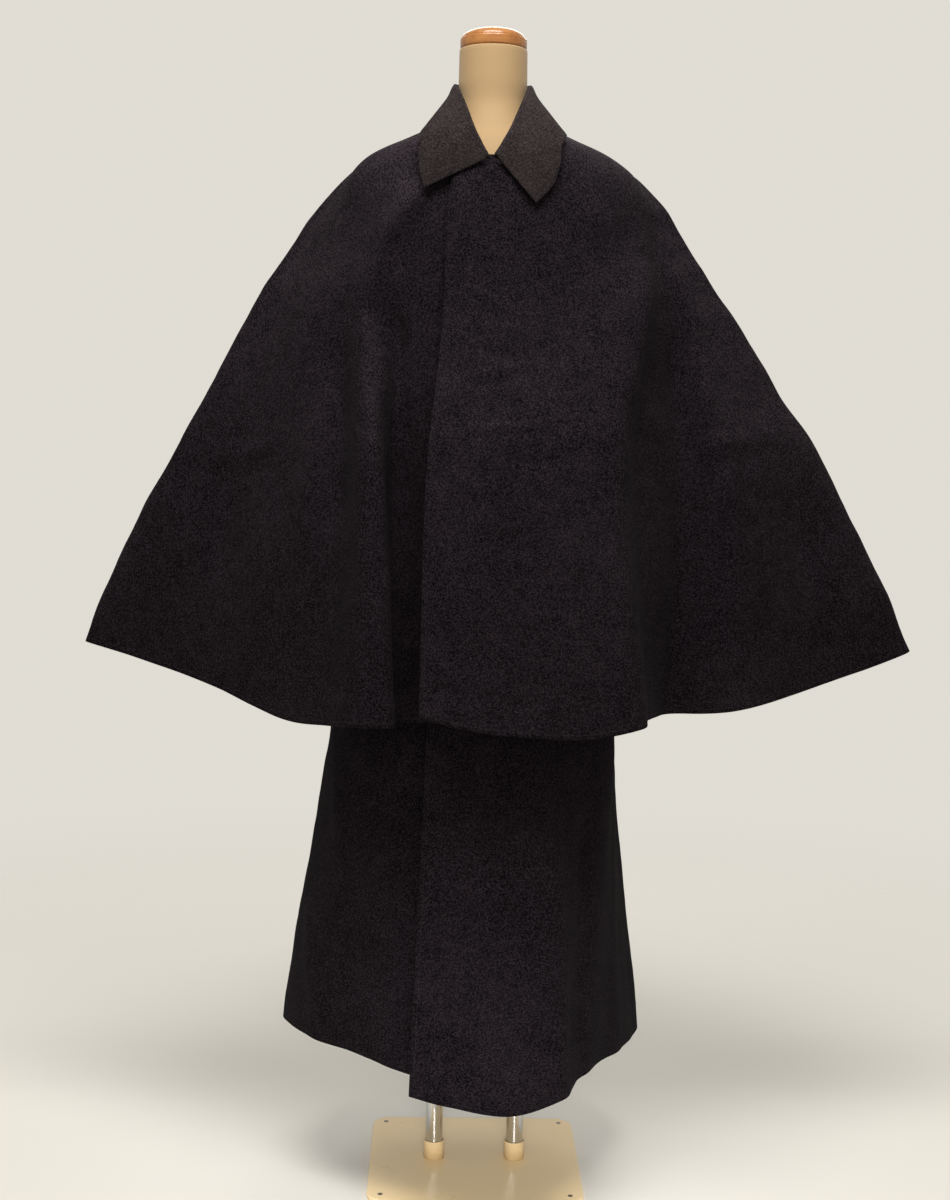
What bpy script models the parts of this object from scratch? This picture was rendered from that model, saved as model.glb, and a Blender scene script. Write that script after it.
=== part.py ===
"""Inverness cape of the Japanese cut, worn left over right by a limbless dress form on a base plate.

Metres, +Z up. The origin is the centre of the base plate's underside, and the wearer faces -Y, so
the wearer's left is +X. A turn is measured round the form: 0 degrees is the front, 90 the wearer's
left side, 180 the back.
"""

import math

import bmesh
import bpy
import numpy as np

# Cloth
WALL = 0.0020
BODY_GAP = 0.0031
CAPE_GAP = 0.0035
LAP_GAP = 0.0012
LAP = WALL + LAP_GAP
SEAM_GAP = 0.0005
SEAM_TURN = 97.0
ARMHOLE_TOP = 1.395
ARMHOLE_FOOT = 1.000
FRONT_SCOOP = 0.30
BACK_SCOOP = 0.13
LAP_FULL_TURN = 25.0
LAP_END_TURN = 60.0

# Neck seam, as a level on the form: high round the back, low in the front notch
NECK_BACK_LEVEL = 2.7
NECK_DROP = 2.8
NECK_DROP_TURN = 24.0

# Grid of each cloth piece: steps on the form, then down to the middle height, then to the hem
FORM_STEPS = 9
UPPER_STEPS = 6
LOWER_STEPS = 5
COLUMN_STEP = 0.155

# Stand
PLATE_SIDE = 0.300
PLATE_THICK = 0.006
PLATE_CORNER = 0.026
PLATE_EDGE = 0.0015
POLE_RADIUS = 0.0125
POLE_SPACING = 0.116
SOCKET_HEIGHT = 0.026
SOCKET_WALL = 0.0018
SOCKET_ROUND = 0.0007
REST_GAP = 0.0003
CAP_RADIUS = 0.0455
CAP_RIM_HEIGHT = 0.0150
CAP_HEIGHT = 0.0285
CAP_ROUND = 0.0030
CAP_DOME_INSET = 0.0025

# Fineness of the turned pieces, and the angle from which an edge is left sharp
CAP_STEPS = 30
CAP_DOME_STEPS = 7
CAP_ROUND_STEPS = 3
POLE_STEPS = 32
CORNER_STEPS = 6
EDGE_STEPS = 2
SHARP_ANGLE = math.radians(45.0)
MERGE_DISTANCE = 0.00001

# The dress form. One row for each level, from the top of the neck to the open skirt's height.
# Columns: height, half width, depth in front, depth behind, squareness of the section (2 is an ellipse)
FORM_LEVELS = [
    (1.5720, 0.0465, 0.0480, 0.0500, 2.0),
    (1.5300, 0.0470, 0.0490, 0.0510, 2.0),
    (1.4950, 0.0480, 0.0510, 0.0550, 2.0),
    (1.4640, 0.0620, 0.0640, 0.0690, 2.0),
    (1.4415, 0.1090, 0.0790, 0.0850, 2.1),
    (1.4150, 0.1650, 0.0920, 0.0970, 2.2),
    (1.3770, 0.1932, 0.1035, 0.1070, 2.3),
    (1.3250, 0.2020, 0.1140, 0.1120, 2.4),
    (1.2500, 0.1960, 0.1210, 0.1120, 2.4),
    (1.1600, 0.1800, 0.1200, 0.1040, 2.4),
    (1.0500, 0.1580, 0.1080, 0.0920, 2.3),
    (0.9300, 0.1650, 0.1080, 0.1000, 2.3),
    (0.8200, 0.1740, 0.1090, 0.1080, 2.3),
    (0.7400, 0.1680, 0.1050, 0.1050, 2.3),
]
FORM_COLUMNS = 32
FORM_RING_STEP = 0.5

# The coat body, round from the left front edge, over the back, to the right front edge under it.
# Columns: line, turn at the neck seam, turn and level where it leaves the form,
# then x, y, z at the cape's hem height and x, y, z at the coat's hem.
BODY_LINES = [
    ("left edge", -12.5, -15.0, 8.5, -0.076, -0.172, 0.660, -0.092, -0.236, 0.185),
    ("left front", 0.0, 0.0, 8.5, -0.035, -0.182, 0.660, -0.035, -0.244, 0.173),
    ("left middle", 12.0, 13.0, 8.5, 0.025, -0.184, 0.655, 0.040, -0.252, 0.165),
    ("left ridge", 26.0, 25.0, 8.4, 0.082, -0.176, 0.650, 0.113, -0.223, 0.180),
    ("left hollow", 40.0, 38.0, 8.2, 0.132, -0.148, 0.650, 0.135, -0.170, 0.187),
    ("left corner", 56.0, 57.0, 7.9, 0.171, -0.112, 0.645, 0.158, -0.130, 0.192),
    ("left tuck", 76.0, 78.0, 7.5, 0.178, -0.045, 0.650, 0.198, -0.058, 0.189),
    ("left seam", SEAM_TURN, SEAM_TURN, 7.2, 0.183, 0.014, 0.650, 0.236, 0.042, 0.188),
    ("left side of back", 122.0, 120.0, 7.6, 0.172, 0.082, 0.650, 0.208, 0.122, 0.187),
    ("left back tuck", 140.0, 139.0, 7.8, 0.120, 0.118, 0.650, 0.138, 0.163, 0.185),
    ("left back fold", 160.0, 159.0, 8.0, 0.064, 0.148, 0.650, 0.078, 0.222, 0.182),
    ("centre back", 180.0, 180.0, 8.0, 0.000, 0.142, 0.650, -0.006, 0.194, 0.182),
    ("right back fold", 200.0, 201.0, 8.0, -0.066, 0.150, 0.650, -0.088, 0.218, 0.184),
    ("right back tuck", 220.0, 221.0, 7.8, -0.122, 0.120, 0.650, -0.148, 0.158, 0.190),
    ("right side of back", 238.0, 240.0, 7.6, -0.178, 0.084, 0.650, -0.226, 0.122, 0.200),
    ("right seam", 360.0 - SEAM_TURN, 360.0 - SEAM_TURN, 7.2, -0.203, 0.018, 0.650, -0.266, 0.046, 0.209),
    ("right side", 284.0, 282.0, 7.6, -0.208, -0.042, 0.650, -0.270, -0.026, 0.216),
    ("right ridge", 306.0, 303.0, 8.0, -0.180, -0.108, 0.650, -0.224, -0.100, 0.214),
    ("right hollow", 328.0, 328.0, 8.3, -0.116, -0.148, 0.655, -0.138, -0.164, 0.207),
    ("right front", 347.0, 346.0, 8.5, -0.056, -0.156, 0.660, -0.080, -0.196, 0.197),
    ("right edge", 368.0, 370.0, 8.5, 0.020, -0.152, 0.660, -0.018, -0.200, 0.187),
]

# The cape wings, from the front edge over the shoulder to the seam on the back. A mirrored wing's
# turns and x count towards its own side. Columns as above, with the middle height at the elbow.
LEFT_CAPE_LINES = [
    ("front edge", -12.5, -13.8, 8.0, -0.081, -0.192, 1.000, -0.086, -0.250, 0.688),
    ("front", 5.0, 4.0, 8.0, -0.015, -0.200, 1.000, -0.022, -0.257, 0.673),
    ("front middle", 20.0, 17.0, 8.0, 0.055, -0.203, 1.000, 0.060, -0.260, 0.665),
    ("front side", 36.0, 32.0, 7.6, 0.122, -0.198, 1.000, 0.140, -0.251, 0.664),
    ("ridge", 58.0, 63.0, 6.5, 0.171, -0.182, 1.010, 0.201, -0.228, 0.674),
    ("turn", 66.0, 73.0, 6.2, 0.196, -0.124, 1.020, 0.214, -0.160, 0.674),
    ("tuck", 75.0, 80.0, 5.9, 0.258, -0.074, 1.030, 0.258, -0.086, 0.671),
    ("swell", 82.0, 85.0, 5.7, 0.315, -0.070, 1.050, 0.345, -0.092, 0.678),
    ("face", 88.0, 89.0, 5.5, 0.374, -0.028, 1.080, 0.478, -0.024, 0.708),
    ("tip", 94.0, 93.0, 5.2, 0.412, 0.010, 1.104, 0.608, 0.020, 0.750),
    ("behind tip", 98.0, 96.0, 5.3, 0.392, 0.040, 1.090, 0.560, 0.062, 0.733),
    ("back swell", 103.0, 101.0, 5.5, 0.345, 0.074, 1.065, 0.470, 0.116, 0.708),
    ("back hollow", 108.0, 106.0, 5.7, 0.300, 0.084, 1.040, 0.385, 0.102, 0.685),
    ("back fold", 114.0, 113.0, 6.0, 0.245, 0.112, 1.020, 0.290, 0.146, 0.671),
]
RIGHT_CAPE_LINES = [
    ("under edge", -8.0, -8.0, 8.0, -0.030, -0.160, 1.000, 0.010, -0.196, 0.676),
    ("under", 5.0, 6.0, 8.0, 0.040, -0.160, 1.000, 0.060, -0.198, 0.674),
    ("valley", 14.0, 17.0, 8.0, 0.098, -0.153, 1.000, 0.104, -0.198, 0.671),
    ("strip", 21.0, 26.0, 7.9, 0.132, -0.178, 1.000, 0.120, -0.231, 0.671),
    ("ridge", 33.0, 38.0, 7.5, 0.156, -0.188, 1.000, 0.166, -0.237, 0.672),
    ("outer tuck", 47.0, 51.0, 7.0, 0.192, -0.140, 1.000, 0.206, -0.188, 0.666),
    ("swell", 62.0, 66.0, 6.4, 0.240, -0.120, 1.010, 0.264, -0.142, 0.665),
    ("hollow", 78.0, 81.0, 5.8, 0.330, -0.048, 1.040, 0.370, -0.066, 0.699),
    ("face", 88.0, 89.0, 5.5, 0.374, -0.018, 1.060, 0.476, -0.014, 0.727),
    ("tip", 94.0, 93.0, 5.2, 0.403, 0.010, 1.074, 0.561, 0.020, 0.747),
    ("behind tip", 98.0, 96.0, 5.3, 0.378, 0.038, 1.065, 0.522, 0.054, 0.732),
    ("back swell", 103.0, 101.0, 5.5, 0.330, 0.078, 1.050, 0.430, 0.118, 0.706),
    ("back hollow", 108.0, 106.0, 5.7, 0.285, 0.082, 1.030, 0.350, 0.100, 0.684),
    ("back fold", 114.0, 113.0, 6.0, 0.240, 0.110, 1.010, 0.276, 0.142, 0.672),
]
CAPE_SEAM_TURN = 125.0
CAPE_SEAM_MIDDLE = 1.000
CAPE_SEAM_FOOT = 0.668
CAPE_SEAM_FADE = 20.0
CAPE_SEAM_OUTWARD = (0.75, 0.66)

# The collar, from the front notch round to the centre back, one table for each side. Columns: line,
# turn at the seam, x, y, z of the roll, turn and level of the free edge, how far the fall bows out.
LEFT_COLLAR_LINES = [
    ("point", 1.5, 0.003, -0.1190, 1.413, 12.0, 6.66, 0.0010),
    ("front", 11.0, 0.021, -0.1010, 1.446, 18.6, 6.20, 0.0050),
    ("front fall", 24.0, 0.0390, -0.0620, 1.490, 24.0, 5.60, 0.0070),
    ("shoulder", 42.0, 0.0480, -0.0300, 1.514, 33.0, 4.70, 0.0030),
    ("side front", 62.0, 0.0508, -0.0105, 1.522, 53.0, 3.75, -0.0010),
    ("side", 88.0, 0.0514, 0.0100, 1.526, 80.0, 3.36, -0.0020),
    ("side back", 120.0, 0.0450, 0.0360, 1.530, 115.0, 3.46, -0.0010),
    ("back", 152.0, 0.0260, 0.0545, 1.533, 150.0, 4.00, 0.0020),
]
RIGHT_COLLAR_LINES = [
    ("point", 2.5, 0.008, -0.1185, 1.411, 22.0, 6.34, 0.0010),
    ("front", 12.0, 0.025, -0.1010, 1.446, 25.0, 5.90, 0.0050),
    ("front fall", 24.0, 0.0400, -0.0630, 1.489, 29.0, 5.35, 0.0070),
    ("shoulder", 42.0, 0.0485, -0.0300, 1.514, 36.0, 4.55, 0.0030),
    ("side front", 62.0, 0.0508, -0.0105, 1.522, 55.0, 3.75, -0.0010),
    ("side", 88.0, 0.0514, 0.0100, 1.526, 82.0, 3.36, -0.0020),
    ("side back", 120.0, 0.0450, 0.0360, 1.530, 115.0, 3.46, -0.0010),
    ("back", 152.0, 0.0260, 0.0545, 1.533, 150.0, 4.00, 0.0020),
]
COLLAR_BACK_LINE = ("centre back", 180.0, 0.0, 0.0600, 1.534, 180.0, 4.40, 0.0020)
COLLAR_SEAM_RISE = 0.26
COLLAR_SEAM_DEPTH = 0.5
COLLAR_ROLL = 0.0022
COLLAR_COLUMN_STEP = 0.060
COLLAR_STEPS = 11

# Colours and surfaces: name, colour, roughness, metallic
WOOL = ("black wool", (0.013, 0.010, 0.013), 0.90, 0.0)
COVER = ("beige cover", (0.53, 0.37, 0.20), 0.80, 0.0)
WOOD = ("turned wood", (0.50, 0.28, 0.12), 0.45, 0.0)
CHROME = ("chrome", (0.62, 0.62, 0.62), 0.18, 1.0)
PAINT = ("beige paint", (0.46, 0.32, 0.19), 0.50, 0.0)


def clear_scene():
    for item in list(bpy.data.objects):
        bpy.data.objects.remove(item, do_unlink=True)


def make_collection(name):
    collection = bpy.data.collections.new(name)
    bpy.context.scene.collection.children.link(collection)
    return collection


def make_material(look):
    name, colour, roughness, metallic = look
    material = bpy.data.materials.get(name)
    if material is None:
        material = bpy.data.materials.new(name)
        material.use_nodes = True
        shader = material.node_tree.nodes["Principled BSDF"]
        shader.inputs["Base Color"].default_value = (*colour, 1.0)
        shader.inputs["Roughness"].default_value = roughness
        shader.inputs["Metallic"].default_value = metallic
    return material


def add_object(collection, name, mesh, look):
    item = bpy.data.objects.new(name, mesh)
    collection.objects.link(item)
    mesh.materials.append(make_material(look))
    mesh.shade_smooth()
    return item


def slopes(knots, values):
    """Slope of a smooth curve at each of its points, whose places on the curve are uneven."""
    gaps = np.diff(knots)
    steps = np.diff(values, axis=0) / gaps[:, None]
    inner = (steps[:-1] * gaps[1:, None] + steps[1:] * gaps[:-1, None]) / (gaps[1:] + gaps[:-1])[:, None]
    return np.vstack([steps[:1], inner, steps[-1:]])


def along(knots, values, place):
    """The point of a smooth curve through the rows of values, at one place between its knots."""
    first = int(np.searchsorted(knots, place, side="right")) - 1
    first = min(max(first, 0), len(knots) - 2)
    gap = knots[first + 1] - knots[first]
    part = (place - knots[first]) / gap
    tilt = slopes(knots, values)
    start = values[first]
    end = values[first + 1]
    pull = (2 * start - 2 * end + (tilt[first] + tilt[first + 1]) * gap) * part ** 3
    bend = (3 * end - 3 * start - (2 * tilt[first] + tilt[first + 1]) * gap) * part ** 2
    return start + tilt[first] * gap * part + bend + pull


def fade(value, full, end):
    """One up to the value called full, then smoothly down to zero at end."""
    part = min(max((value - full) / (end - full), 0.0), 1.0)
    return 1.0 - part * part * (3.0 - 2.0 * part)


def off_centre(turn):
    """How far a turn is from the centre front, in degrees either way."""
    return abs((turn + 180.0) % 360.0 - 180.0)


def form_point(turn, level):
    """A point on the dress form's surface."""
    levels = np.arange(len(FORM_LEVELS), dtype=float)
    height, half_width, front, back, square = along(levels, np.array(FORM_LEVELS), level)
    sine = math.sin(math.radians(turn))
    cosine = math.cos(math.radians(turn))
    depth = front if cosine > 0 else back
    x = half_width * math.copysign(abs(sine) ** (2.0 / square), sine)
    y = -depth * math.copysign(abs(cosine) ** (2.0 / square), cosine)
    return np.array([x, y, height])


def on_form(turn, level, lift):
    """A point that lies the lift away from the dress form's surface."""
    across = form_point(turn + 1.0, level) - form_point(turn - 1.0, level)
    down = form_point(turn, level + 0.05) - form_point(turn, level - 0.05)
    outward = np.cross(down, across)
    return form_point(turn, level) + outward / np.linalg.norm(outward) * lift


def neck_level(turn):
    """Level of the neck seam, which drops to a notch at the centre front."""
    return NECK_BACK_LEVEL + NECK_DROP / (1.0 + (off_centre(turn) / NECK_DROP_TURN) ** 2)


def front_lap(turn):
    """Extra height of a layer where the fronts lap, which fades out towards the sides."""
    return LAP * fade(off_centre(turn), LAP_FULL_TURN, LAP_END_TURN)


def body_lift(turn):
    """Height of the coat body over the form: the left front lies on the right one."""
    return BODY_GAP + (front_lap(turn) if turn < 180.0 else 0.0)


def right_cape_lift(turn):
    return BODY_GAP + WALL + CAPE_GAP + front_lap(turn)


def left_cape_lift(turn):
    return right_cape_lift(turn) + front_lap(turn)


def collar_lift(turn):
    """The fall lies on both capes in front, on one at the side and on the coat's back behind."""
    end_turn = CAPE_SEAM_TURN + CAPE_SEAM_FADE
    over_cape = (WALL + CAPE_GAP) * fade(off_centre(turn), CAPE_SEAM_TURN, end_turn)
    return BODY_GAP + LAP + over_cape + 2.0 * front_lap(turn)


def chord_places(points, power):
    """Places of points along a curve, each a power of the distance on from the last."""
    steps = np.linalg.norm(np.diff(points, axis=0), axis=1) ** power
    return np.concatenate([[0.0], np.cumsum(steps)])


def cloth_line(row, lift):
    """Points down one line of cloth: over the form, then free to the middle height and the hem."""
    neck_turn, leave_turn, leave_level = row[:3]
    middle = row[3:6]
    hem = row[6:9]
    start_level = neck_level(neck_turn)
    resting = []
    for step in range(FORM_STEPS + 1):
        part = step / FORM_STEPS
        turn = neck_turn + (leave_turn - neck_turn) * part
        level = start_level + (leave_level - start_level) * part
        resting.append(on_form(turn, level, lift(turn)))
    guides = np.array(resting + [middle, hem])
    places = chord_places(guides, 1.0)
    upper = np.linspace(places[-3], places[-2], UPPER_STEPS + 1)[1:]
    lower = np.linspace(places[-2], places[-1], LOWER_STEPS + 1)[1:]
    hanging = [along(places, guides, place) for place in (*upper, *lower)]
    return np.array(resting + hanging)


def line_table(lines):
    return np.array([line[1:] for line in lines])


def line_places(table):
    """Where each line lies across the cloth, from the distances between their hem ends."""
    return chord_places(table[:, 6:9], 0.5)


def column_places(places, first, last, step):
    """Places across the cloth: each line of the table, and even steps between them."""
    columns = [places[first]]
    for start, end in zip(places[first:last], places[first + 1:last + 1]):
        count = max(1, round((end - start) / step))
        columns.extend(start + (end - start) * (index + 1) / count for index in range(count))
    return columns


def armhole_scoop(height):
    """How far in the armhole reaches at one height, from 0 to 1."""
    part = (ARMHOLE_TOP - height) / (ARMHOLE_TOP - ARMHOLE_FOOT)
    return math.sin(math.pi * part) if 0.0 < part < 1.0 else 0.0


def pull_edge(grid, edge, neighbour):
    """Draw one edge of a panel back from its seam."""
    inward = grid[neighbour] - grid[edge]
    grid[edge] += inward / np.linalg.norm(inward, axis=1)[:, None] * SEAM_GAP / 2.0


def body_panel(first_name, last_name):
    """Grid of one panel of the coat body, with the armholes cut out of its side edges."""
    table = line_table(BODY_LINES)
    names = [line[0] for line in BODY_LINES]
    first = names.index(first_name)
    last = names.index(last_name)
    places = line_places(table)
    columns = column_places(places, first, last, COLUMN_STEP)
    is_back = first_name.endswith("seam") and last_name.endswith("seam")
    if is_back:
        fixed = (columns[0] + columns[-1]) / 2.0
        scoop = BACK_SCOOP
    else:
        fixed = columns[-1] if first_name.endswith("seam") else columns[0]
        scoop = FRONT_SCOOP
    grid = []
    for column in columns:
        heights = cloth_line(along(places, table, column), body_lift)[:, 2]
        points = []
        for index, height in enumerate(heights):
            place = column + (fixed - column) * scoop * armhole_scoop(height)
            points.append(cloth_line(along(places, table, place), body_lift)[index])
        grid.append(points)
    grid = np.array(grid)
    if first_name.endswith("seam"):
        pull_edge(grid, 0, 1)
    if last_name.endswith("seam"):
        pull_edge(grid, -1, -2)
    return grid


def seam_line(name, side):
    """The line where a wing is sewn on the back, as a line of the wing's own table."""
    row = line_table([line for line in BODY_LINES if line[0] == name])[0]
    points = cloth_line(row, body_lift)
    sideways, backwards = CAPE_SEAM_OUTWARD
    outward = np.array([sideways * side, backwards, 0.0]) * (WALL + CAPE_GAP)
    found = []
    for height in (CAPE_SEAM_MIDDLE, CAPE_SEAM_FOOT):
        spot = [np.interp(height, points[::-1, 2], points[::-1, axis]) for axis in range(3)]
        found.append(np.array(spot) + outward)
    own = np.array([side, 1.0, 1.0])
    turns = (row[0], row[1]) if side > 0 else (360.0 - row[0], 360.0 - row[1])
    return [("back seam", *turns, row[2], *(found[0] * own), *(found[1] * own))]


def cape_wing(lines, lift, seam_name, side):
    """Grid of one wing. The mirrored one is turned over and runs the other way."""
    table = line_table(lines + seam_line(seam_name, side))
    places = line_places(table)
    columns = column_places(places, 0, len(table) - 1, COLUMN_STEP)
    grid = np.array([cloth_line(along(places, table, column), lift) for column in columns])
    if side < 0:
        grid = grid[::-1] * np.array([-1.0, 1.0, 1.0])
    return grid


def collar_line(row):
    """Points of one line of the collar: up the stand, over the roll, and down the fall."""
    seam_turn = row[0]
    roll = row[1:4]
    edge_turn, edge_level, belly = row[4:7]
    seam_level = neck_level(seam_turn)
    seam_lift = collar_lift(seam_turn) * COLLAR_SEAM_DEPTH
    seam = on_form(seam_turn, seam_level - COLLAR_SEAM_RISE, seam_lift)
    edge = on_form(edge_turn, edge_level, collar_lift(edge_turn))
    middle_turn = (seam_turn + edge_turn) / 2.0
    middle_level = (seam_level + edge_level) / 2.0
    bow = on_form(middle_turn, middle_level, belly) - form_point(middle_turn, middle_level)
    middle = (roll + edge) / 2.0 + bow
    outward = edge - seam
    outward[2] = 0.0
    outward /= np.linalg.norm(outward)
    drop = np.array([0.0, 0.0, COLLAR_ROLL])
    inner = roll - drop - outward * COLLAR_ROLL
    outer = roll - drop + outward * COLLAR_ROLL
    stand = (seam + inner) / 2.0
    guides = np.array([seam, stand, inner, roll, outer, middle, edge])
    places = chord_places(guides, 0.5)
    return np.array([along(places, guides, place) for place in np.linspace(0.0, places[-1], COLLAR_STEPS)])


def collar_grid():
    """Grid of the whole collar, from the right point round the back to the left point."""
    back = line_table([COLLAR_BACK_LINE])
    left = line_table(LEFT_COLLAR_LINES)
    right = line_table(RIGHT_COLLAR_LINES)
    right[:, (0, 4)] = 360.0 - right[:, (0, 4)]
    right[:, 1] *= -1.0
    table = np.vstack([left, back, right[::-1]])
    places = chord_places(table[:, 1:4], 0.5)
    columns = column_places(places, 0, len(table) - 1, COLLAR_COLUMN_STEP)
    return np.array([collar_line(along(places, table, column)) for column in columns])


def add_cloth(collection, name, grid, wall):
    """A cloth piece: the grid's inner face, thickened outwards to the wall."""
    columns, rows = grid.shape[:2]
    faces = []
    for column in range(columns - 1):
        for row in range(rows - 1):
            corner = column * rows + row
            faces.append((corner, corner + 1, corner + rows + 1, corner + rows))
    mesh = bpy.data.meshes.new(name)
    mesh.from_pydata(grid.reshape(-1, 3).tolist(), [], faces)
    item = add_object(collection, name, mesh, WOOL)
    thicken = item.modifiers.new("cloth", "SOLIDIFY")
    thicken.thickness = wall
    thicken.offset = 1.0
    thicken.use_quality_normals = True
    thicken.use_even_offset = True
    return item


def add_torso(collection):
    """The covered form: rings from the neck to its underside, closed at both ends."""
    mesh = bmesh.new()
    rings = []
    count = round((len(FORM_LEVELS) - 1) / FORM_RING_STEP)
    for index in range(count + 1):
        turns = np.arange(FORM_COLUMNS) * 360.0 / FORM_COLUMNS
        ring = [mesh.verts.new(form_point(turn, index * FORM_RING_STEP)) for turn in turns]
        rings.append(ring)
    for upper, lower in zip(rings, rings[1:]):
        for index in range(FORM_COLUMNS):
            after = (index + 1) % FORM_COLUMNS
            mesh.faces.new((upper[index], lower[index], lower[after], upper[after]))
    mesh.faces.new(rings[0])
    mesh.faces.new(rings[-1][::-1])
    data = bpy.data.meshes.new("form_torso")
    mesh.to_mesh(data)
    mesh.free()
    item = add_object(collection, "form_torso", data, COVER)
    data.set_sharp_from_angle(angle=SHARP_ANGLE)
    return item


def add_turned(collection, name, profile, steps, look):
    """A turned piece: the profile runs down its outer side, and the screw closes it round."""
    mesh = bpy.data.meshes.new(name)
    edges = [(index, index + 1) for index in range(len(profile) - 1)]
    if profile[0][0] > 0.0:
        edges.append((len(profile) - 1, 0))
    mesh.from_pydata([(radius, 0.0, height) for radius, height in profile], edges, [])
    item = add_object(collection, name, mesh, look)
    turn = item.modifiers.new("turn", "SCREW")
    turn.steps = steps
    turn.render_steps = steps
    turn.use_merge_vertices = True
    turn.merge_threshold = MERGE_DISTANCE
    turn.use_smooth_shade = True
    return item


def add_neck_cap(collection):
    """The wooden cap: a rounded rim on the neck, with a low dome set in from it."""
    foot = FORM_LEVELS[0][0] + REST_GAP
    rim_top = foot + CAP_RIM_HEIGHT
    dome_radius = CAP_RADIUS - CAP_DOME_INSET
    dome_height = CAP_HEIGHT - CAP_RIM_HEIGHT
    profile = []
    for angle in np.linspace(0.0, math.pi / 2.0, CAP_DOME_STEPS + 1):
        profile.append((dome_radius * math.sin(angle), rim_top + dome_height * math.cos(angle)))
    for angle in np.linspace(0.0, math.pi / 2.0, CAP_ROUND_STEPS + 1):
        radius = CAP_RADIUS - CAP_ROUND * (1.0 - math.sin(angle))
        profile.append((radius, rim_top - CAP_ROUND * (1.0 - math.cos(angle))))
    for angle in np.linspace(0.0, math.pi / 2.0, CAP_ROUND_STEPS + 1):
        radius = CAP_RADIUS - CAP_ROUND * (1.0 - math.cos(angle))
        profile.append((radius, foot + CAP_ROUND * (1.0 - math.sin(angle))))
    profile.append((0.0, foot))
    return add_turned(collection, "form_neck_cap", profile, CAP_STEPS, WOOD)


def add_pole(collection, name, x):
    """A chrome tube from the plate up to the form's underside."""
    foot = PLATE_THICK + REST_GAP
    top = FORM_LEVELS[-1][0] - REST_GAP
    mesh = bmesh.new()
    bmesh.ops.create_cone(mesh, cap_ends=True, segments=POLE_STEPS, radius1=POLE_RADIUS,
                          radius2=POLE_RADIUS, depth=top - foot)
    data = bpy.data.meshes.new(name)
    mesh.to_mesh(data)
    mesh.free()
    item = add_object(collection, name, data, CHROME)
    data.set_sharp_from_angle(angle=SHARP_ANGLE)
    item.location = (x, 0.0, (foot + top) / 2.0)
    return item


def add_socket(collection, name, x):
    """The sleeve on the plate that holds a pole's foot."""
    foot = PLATE_THICK + REST_GAP
    inner = POLE_RADIUS + REST_GAP
    outer = inner + SOCKET_WALL
    top = foot + SOCKET_HEIGHT
    rim = [(outer - SOCKET_ROUND, top), (outer, top - SOCKET_ROUND)]
    profile = [(inner, top), *rim, (outer, foot), (inner, foot)]
    item = add_turned(collection, name, profile, POLE_STEPS, PAINT)
    item.location.x = x
    return item


def add_plate(collection):
    """The square base plate, with round corners and a softened rim."""
    mesh = bmesh.new()
    bmesh.ops.create_cube(mesh, size=1.0)
    bmesh.ops.scale(mesh, vec=(PLATE_SIDE, PLATE_SIDE, PLATE_THICK), verts=mesh.verts)
    uprights = []
    for edge in mesh.edges:
        if abs(edge.verts[0].co.z - edge.verts[1].co.z) > PLATE_THICK / 2.0:
            uprights.append(edge)
    bmesh.ops.bevel(mesh, geom=uprights, offset=PLATE_CORNER, segments=CORNER_STEPS, profile=0.5,
                    affect="EDGES")
    data = bpy.data.meshes.new("base_plate")
    mesh.to_mesh(data)
    mesh.free()
    item = add_object(collection, "base_plate", data, PAINT)
    data.set_sharp_from_angle(angle=SHARP_ANGLE)
    item.location.z = PLATE_THICK / 2.0
    rim = item.modifiers.new("rim", "BEVEL")
    rim.width = PLATE_EDGE
    rim.segments = EDGE_STEPS
    rim.limit_method = "ANGLE"
    rim.angle_limit = SHARP_ANGLE
    return item


def build():
    clear_scene()
    garment = make_collection("inverness cape on dress form")
    add_torso(garment)
    add_neck_cap(garment)
    for name, x in (("left", POLE_SPACING / 2.0), ("right", -POLE_SPACING / 2.0)):
        add_pole(garment, f"pole_{name}", x)
        add_socket(garment, f"socket_{name}", x)
    add_plate(garment)
    add_cloth(garment, "front_left", body_panel("left edge", "left seam"), WALL)
    add_cloth(garment, "back", body_panel("left seam", "right seam"), WALL)
    add_cloth(garment, "front_right", body_panel("right seam", "right edge"), WALL)
    left_wing = cape_wing(LEFT_CAPE_LINES, left_cape_lift, "left side of back", 1)
    right_wing = cape_wing(RIGHT_CAPE_LINES, right_cape_lift, "right side of back", -1)
    add_cloth(garment, "cape_left", left_wing, WALL)
    add_cloth(garment, "cape_right", right_wing, WALL)
    add_cloth(garment, "collar", collar_grid(), WALL)


build()
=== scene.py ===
# %% [markdown]
# # An inverness cape on a dress form
#
# The garment is a long sleeveless coat with two wide cape wings in place of sleeves, a turned-down
# collar and a hidden front fastening, closed left over right. It stands on a limbless dress form.
# A solid model already holds every piece at its real size. This lesson loads it as a fixed frame and
# makes the looks round it: folds, pressed edges, stitches, nap, the form's cover, wood, chrome, paint.

# %% Load the solid model as a fixed frame
import math

import bpy
import numpy as np
from mathutils import Matrix, Vector, noise


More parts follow.
